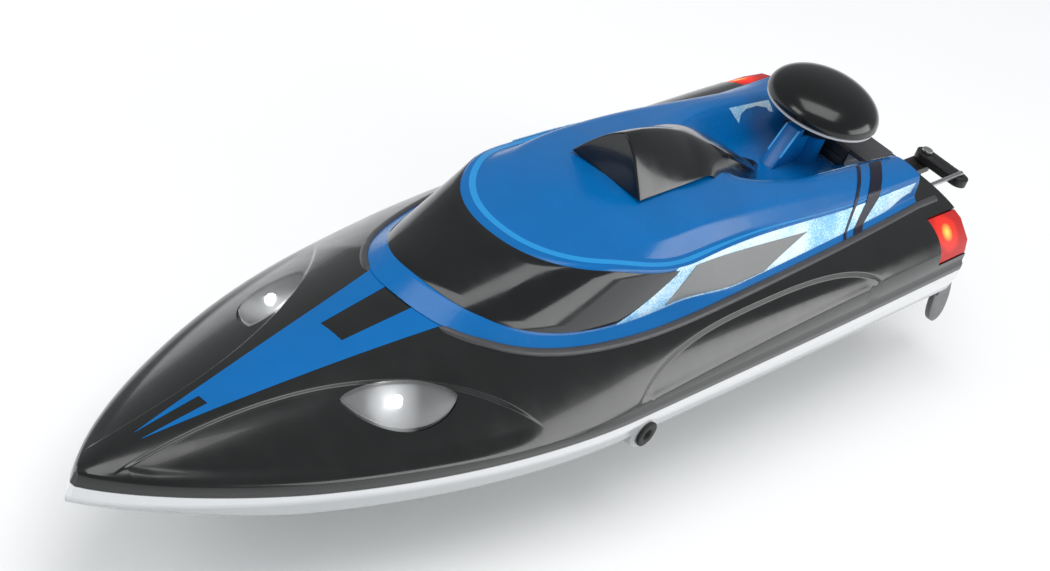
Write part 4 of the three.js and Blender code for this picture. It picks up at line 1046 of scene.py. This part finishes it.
STRIPES = (
    # x on the canopy's edge, knuckle and crease, and half the band's width there
    ((81.5, 0.9), (71.7, 1.2), (54.3, 1.2)),
    ((71.3, 3.3), (58.0, 4.8), (40.2, 4.6)),
)
STRIPE_FOOT_Z, KNUCKLE_Z, KNUCKLE_Y = 64.2, 73.7, 38.3  # the canopy's quarter, where the bands cross it
CREASE_Y = 25.0  # the bands end here on the roof
STARBOARD_STRIPE_TOP = 74.5  # the starboard bands stop at the knuckle


def on_row(k, x):
    """The point where the canopy section's k-th line passes x, and the outward direction there."""
    t = 0.85
    for _ in range(5):
        t += (canopy_section(t)[k].x - x) / (2 * 165)
    here = canopy_section(t)
    tangent = (here[min(k + 1, len(here) - 1)] - here[k - 1]).normalized()
    outward = Vector((0, tangent.z, -tangent.y)).normalized()
    return here[k], outward


def side_stripes():
    """Two dark bands that lean aft as they climb over the canopy's quarter."""
    for name, side in SIDES:
        for number, (foot, bend, head) in enumerate(STRIPES, start=1):
            rows = []
            sample = canopy_section(0.87)
            for k in range(1, len(sample)):
                p = sample[k]
                if p.y < CREASE_Y or (side < 0 and p.z > STARBOARD_STRIPE_TOP):
                    break
                if p.z < KNUCKLE_Z:
                    u = clamp((p.z - STRIPE_FOOT_Z) / (KNUCKLE_Z - STRIPE_FOOT_Z))
                    x, half = mix(foot[0], bend[0], u), mix(foot[1], bend[1], u)
                else:
                    u = clamp((KNUCKLE_Y - p.y) / (KNUCKLE_Y - CREASE_Y))
                    x, half = mix(bend[0], head[0], u), mix(bend[1], head[1], u)
                row = []
                for across in steps(-1, 1, 6):
                    at, outward = on_row(k, x + across * half)
                    row.append(at + outward * 0.3)
                rows.append(row)
            band = thicken(face_up(new_object(f"stripe_{number}_{name}", *grid(rows)), "y"), 0.3)
            finish_piece(mirrored(band, side), "canopy", "canopy_black", navy)


CREASE_ROW, FLOOR_ROW = 33, 40  # the canopy section's rows at the top and the foot of the trough's wall
TROUGH_REFLECTION_TOP = 0.13  # how far down the wall the painted reflection begins
TROUGH_REFLECTION_FOOT = (
    # x, and how far down the wall the painted reflection reaches there
    (82.7, 0.13), (78.7, 0.51), (75.2, 0.31), (70.4, 0.23),
    (61.9, 0.21), (55.3, 0.30), (53.9, 0.43), (51.0, 0.46),
)


def painted_trough_reflections():
    """An arched patch of painted reflection, in the pale speckled blue, high on each wall of the trough."""
    for name, side in SIDES:
        rows = []
        for (x0, foot0), (x1, foot1) in zip(TROUGH_REFLECTION_FOOT, TROUGH_REFLECTION_FOOT[1:]):
            for u in steps(0, 1, 6)[:-1]:
                aft = (FRONT["crease"][0] - mix(x0, x1, u)) / (FRONT["crease"][0] - CANOPY_AFT)
                wall = canopy_section(mix(T_SIDE, 1, aft))[CREASE_ROW:FLOOR_ROW + 1]
                row = []
                for w in steps(0, 1, 5):
                    at, ahead = along_line(wall, mix(TROUGH_REFLECTION_TOP, mix(foot0, foot1, u) + 0.005, w))
                    row.append(at + Vector((0, ahead.z, -ahead.y)) * 0.12)
                rows.append(row)
        # the pale arch is painted reflection on the trough's wall
        flash = thicken(face_up(new_object(f"trough_painted_reflection_{name}", *grid(rows))), 0.2)
        finish_piece(mirrored(flash, side), "canopy", "canopy_blue", painted_reflection_blue)


# ---------------------------------------------------------------- scoop
SCOOP = {"front": 208, "aft": 90, "half": 17, "tail_half": 2.5, "peak": 115, "tail": 71.5}
SCOOP_SUNK = 1.2  # how far its foot reaches into the roof
ROOF_Z = 96.4
TROUGH_FRONT = 160  # the trough's floor starts to fall here


def scoop_ring(x):
    """An arch over the roof: pointed at the front, and filled out as it runs down into the trough."""
    u = clamp((SCOOP["front"] - x) / (SCOOP["front"] - SCOOP["aft"]))
    half = max(SCOOP["half"] * (1 - u**3.2) ** 0.55, SCOOP["tail_half"])
    roof = ROOF_Z if x > TROUGH_FRONT else trough_at(x) + 0.5
    foot = mix(roof + 0.8, mix(95, 72, u**1.4), smooth(u, 0.36, 0.62))
    top = max(mix(SCOOP["peak"], SCOOP["tail"], u**1.6), foot + 2)
    low = foot - SCOOP_SUNK
    fullness = mix(1.4, 5.0, smooth(u, 0.34, 0.62))
    return [Vector((x, -half * q, low + (top - low) * (1 - abs(q) ** fullness))) for q in steps(-1, 1, 28)]


def scoop():
    rings = [scoop_ring(x) for x in steps(SCOOP["front"], SCOOP["aft"], 60)]
    hood = loft("scoop_hood", rings)
    bevel(hood, 0.5, 3, 40)
    finish_piece(hood, "canopy", "canopy_black", gloss_black, ["roof_scoop"], angle=40)


# ---------------------------------------------------------------- knob
def knob():
    """The domed cap, and the light ring under it."""
    rise, r, z = DOME["rise"], DOME["r"], DOME["z"]
    profile = [[0, z + 0.2], [r - 0.5, z + 0.2], [r - 0.05, z + 0.6]]
    profile += [[r * math.cos(a) ** 0.9, z + 1.1 + (rise - 1.1) * math.sin(a)]
                for a in steps(0.02, math.pi / 2 - 0.001, 28)]
    profile[-1][0] = 0
    cap = turned("knob_dome", profile, 128, "Z", (DOME["x"], 0, 0))
    finish_piece(cap, "knob", "canopy_black", dome_black, ["dome_cap"])
    edge = r - 0.45
    profile = [[0, z - 1.3], [edge - 0.7, z - 1.3], [edge - 0.1, z - 1.0], [edge, z - 0.6],
               [edge - 0.1, z - 0.2], [edge - 0.5, z], [0, z]]
    ring = turned("knob_rim", profile, 128, "Z", (DOME["x"], 0, 0))
    finish_piece(ring, "knob", "rim_grey", light_grey, ["dome_rim"])


# ---------------------------------------------------------------- lamps
def lamp_skin(name, side, grow, z_of, thickness):
    """A curved plate with the headlight's outline. Its top is at z_of(x, y, u), u from middle to edge."""
    outline = headlight_outline(side, grow)
    cx = sum(p[0] for p in outline) / len(outline)
    cy = sum(p[1] for p in outline) / len(outline)
    rows = []
    for u in steps(0.02, 1, 12):
        ring = [(mix(cx, x, u), mix(cy, y, u)) for x, y in outline]
        rows.append([Vector((x, y, z_of(x, y, u))) for x, y in ring])
    points, faces = grid(rows, closed=True)
    faces.append(tuple(range(len(outline))))
    return thicken(face_up(new_object(name, points, faces)), thickness)


BULB = [[0, -2], [1.6, -2], [1.6, 0.4], [1.3, 1.2], [0.7, 1.7], [0, 1.9]]


def headlights():
    """A clear cover flush with the deck, over a dark chromed bowl with a bright bulb in it."""
    def cover_z(x, y, u):
        return deck_at(x, y) - 0.2 + 0.9 * (1 - u**2)

    def bowl_z(x, y, u):
        return deck_at(x, y) - 2.0 - 4.2 * (1 - u**2.5)

    for name, side in SIDES:
        led = (HEADLIGHT["led"][0], side * HEADLIGHT["led"][1], HEADLIGHT["led"][2])
        look = lens(f"headlight_lens_{name}", (0.95, 0.97, 0.98), 0.06, 0.95)
        look.set(Alpha=0.4)
        shine = Look(f"reflector_{name}", (0.12, 0.122, 0.127), 0.22, 1.0).tinted(90, 0.3)
        glowing(shine, led, (1.0, 1.0, 1.0), (0.30, 0.31, 0.32), 13, 1.6)
        top = lamp_skin(f"headlight_cover_{name}", side, -0.1, cover_z, 1.2)
        finish_piece(top, "boat", "clear", look.material, [f"headlight_lens_{name}"])
        bowl = lamp_skin(f"headlight_bowl_{name}", side, -0.3, bowl_z, 0.6)
        finish_piece(bowl, "boat", "chrome", shine.material, [f"headlight_reflector_{name}"])
        bulb = turned(f"headlight_bulb_{name}", BULB, 32, "Z", led)
        finish_piece(bulb, "boat", "chrome", led_white)


TAIL_LED = (13.7, 56.2, 59)


def tail_lights():
    """Red lenses with an orange glow round the LED inside."""
    for name, side in SIDES:
        led = (TAIL_LED[0], side * TAIL_LED[1], TAIL_LED[2])
        look = lens(f"tail_lens_{name}", (0.62, 0.012, 0.009), 0.12, 0.2)
        glowing(look, led, (1.0, 0.55, 0.08), (0.34, 0.012, 0.001), 9, 1.8)
        tail = copy_of(f"tail_light_lens_{name}", f"tail_lens_{name}")
        bevel(tail, 0.5, 3)
        finish_piece(tail, "boat", "red_lens", look.material, [f"tail_light_lens_{name}"])


# ---------------------------------------------------------------- pieces refined from their CAD nodes
REFINED = (
    # material, edge rounding in mm, nodes
    (rail_grey, 0.3, ("stern_panel",)),
    (satin_black, 0.35, ("latch_stem",)),
    (satin_black, 0.4, ("hatch_cover", "rudder_blade", "servo")),
    (rubber, 0.3, ("hatch_seal",)),
    (red_plastic, 0.3, ("hatch_latch_port", "hatch_latch_starboard")),
    (silicone, 0.1, (
        "tail_light_led_port", "tail_light_led_starboard", "cooling_hose_in", "cooling_hose_out",
    )),
    (steel, 0.15, (
        "drive_shaft", "motor_shaft", "motor_screw_port", "motor_screw_starboard", "bracket_screw_1",
        "bracket_screw_2", "tiller_screw", "pushrod",
    )),
    (steel, 0.3, ("shaft_coupling",)),
    (brass, 0.15, ("stern_tube", "water_inlet")),
    (satin_black, 0.15, ("propeller",)),
    (brass, 0.2, ("propeller_nut",)),
    (steel, 0.4, ("motor",)),
    (satin_black, 0.3, ("motor_mount", "equipment_tray", "rudder_bracket", "tiller_arm", "servo_tray")),
    (aluminium, 0.25, ("water_jacket",)),
    (rubber, 0.25, ("water_outlet",)),
    (cell_wrap, 0.5, ("battery",)),
    (strap, 0.3, ("battery_strap",)),
    (board, 0.2, ("control_board",)),
    (red_plastic, 0.1, ("battery_lead", "motor_lead_port")),
    (satin_black, 0.1, ("motor_lead_starboard",)),
    (brass, 0.1, ("sensor_contact_port", "sensor_contact_starboard")),
    (rubber, 0.2, ("pushrod_boot",)),
    (light_grey, 0.2, ("servo_horn",)),
    (fin_grey, 0.35, ("turn_fin_port", "turn_fin_starboard")),
)


def refined_pieces():
    """The nodes whose CAD shape is kept, each as a copy with rounded edges."""
    record = frame["record"]
    body_of = {node: body for body, nodes in record["behaviour"]["bodies"].items() for node in nodes}
    slot_of = {subpart["node"]: subpart["material_slot"] for subpart in record["subparts"]}
    for material, rounding, nodes in REFINED:
        for node in nodes:
            piece = copy_of(node, f"{node}_finished")
            bevel(piece, rounding, 2)
            finish_piece(piece, body_of[node], slot_of[node], material, [node], angle=40)


# ---------------------------------------------------------------- studio
def area_light(name, at, aim, size, power, colour=(1, 1, 1)):
    data = bpy.data.lights.new(name, "AREA")
    data.shape = "RECTANGLE"
    data.size, data.size_y = size
    data.energy = power
    data.color = colour
    light = bpy.data.objects.new(name, data)
    light.location = at
    light.rotation_euler = (Vector(aim) - Vector(at)).to_track_quat("-Z", "Y").to_euler()
    light.visible_camera = False
    bpy.context.scene.collection.objects.link(light)


def add_world():
    """White to the camera, a soft fill on the object, and dimmer in its reflections."""
    world = bpy.data.worlds.new("studio")
    world.use_nodes = True
    tree = world.node_tree
    background = tree.nodes["Background"]
    background.inputs["Color"].default_value = (0.96, 0.98, 1.0, 1)
    path = tree.nodes.new("ShaderNodeLightPath")
    strength = None
    for ray, level in (("Is Glossy Ray", -0.42), ("Is Camera Ray", 0.25)):
        term = tree.nodes.new("ShaderNodeMath")
        term.operation = "MULTIPLY_ADD"
        tree.links.new(path.outputs[ray], term.inputs[0])
        term.inputs[1].default_value = level
        term.inputs[2].default_value = 0.70
        if strength:
            tree.links.new(strength, term.inputs[2])
        strength = term.outputs["Value"]
    tree.links.new(strength, background.inputs["Strength"])
    bpy.context.scene.world = world


FLOOR_SIZE = 30.0  # from the middle to each edge, in m


def studio():
    """A plain pale floor under the lowest point, and three soft lights."""
    floor = bpy.data.meshes.new("floor")
    z = cad_box[0].z - 0.0005
    corners = [(x * FLOOR_SIZE, y * FLOOR_SIZE, z) for x, y in ((-1, -1), (1, -1), (1, 1), (-1, 1))]
    floor.from_pydata(corners, [], [(0, 1, 2, 3)])
    stage = bpy.data.objects.new("floor", floor)
    bpy.context.scene.collection.objects.link(stage)
    stage.data.materials.append(Look("floor", (0.93, 0.93, 0.93), 0.6).tinted(3, 0.01).material)
    add_world()
    area_light("overhead", (0.15, 0.1, 1.3), (0, 0, 0), (1.2, 0.8), 9)
    area_light("port_aft", (-0.8, 1.1, 0.35), (0, 0, 0.05), (1.2, 0.5), 6)
    area_light("bow", (1.3, -0.5, 0.7), (0.1, 0, 0.05), (0.6, 0.5), 4)
    bpy.context.scene.view_settings.view_transform = "Standard"


add_camera()
hull()
deck()
foredeck_stripe()
deck_rail()
canopy()
knob_mounting()
roof_border_highlight()
windshield()
side_windows()
side_stripes()
painted_trough_reflections()
scoop()
knob()
headlights()
tail_lights()
refined_pieces()
studio()
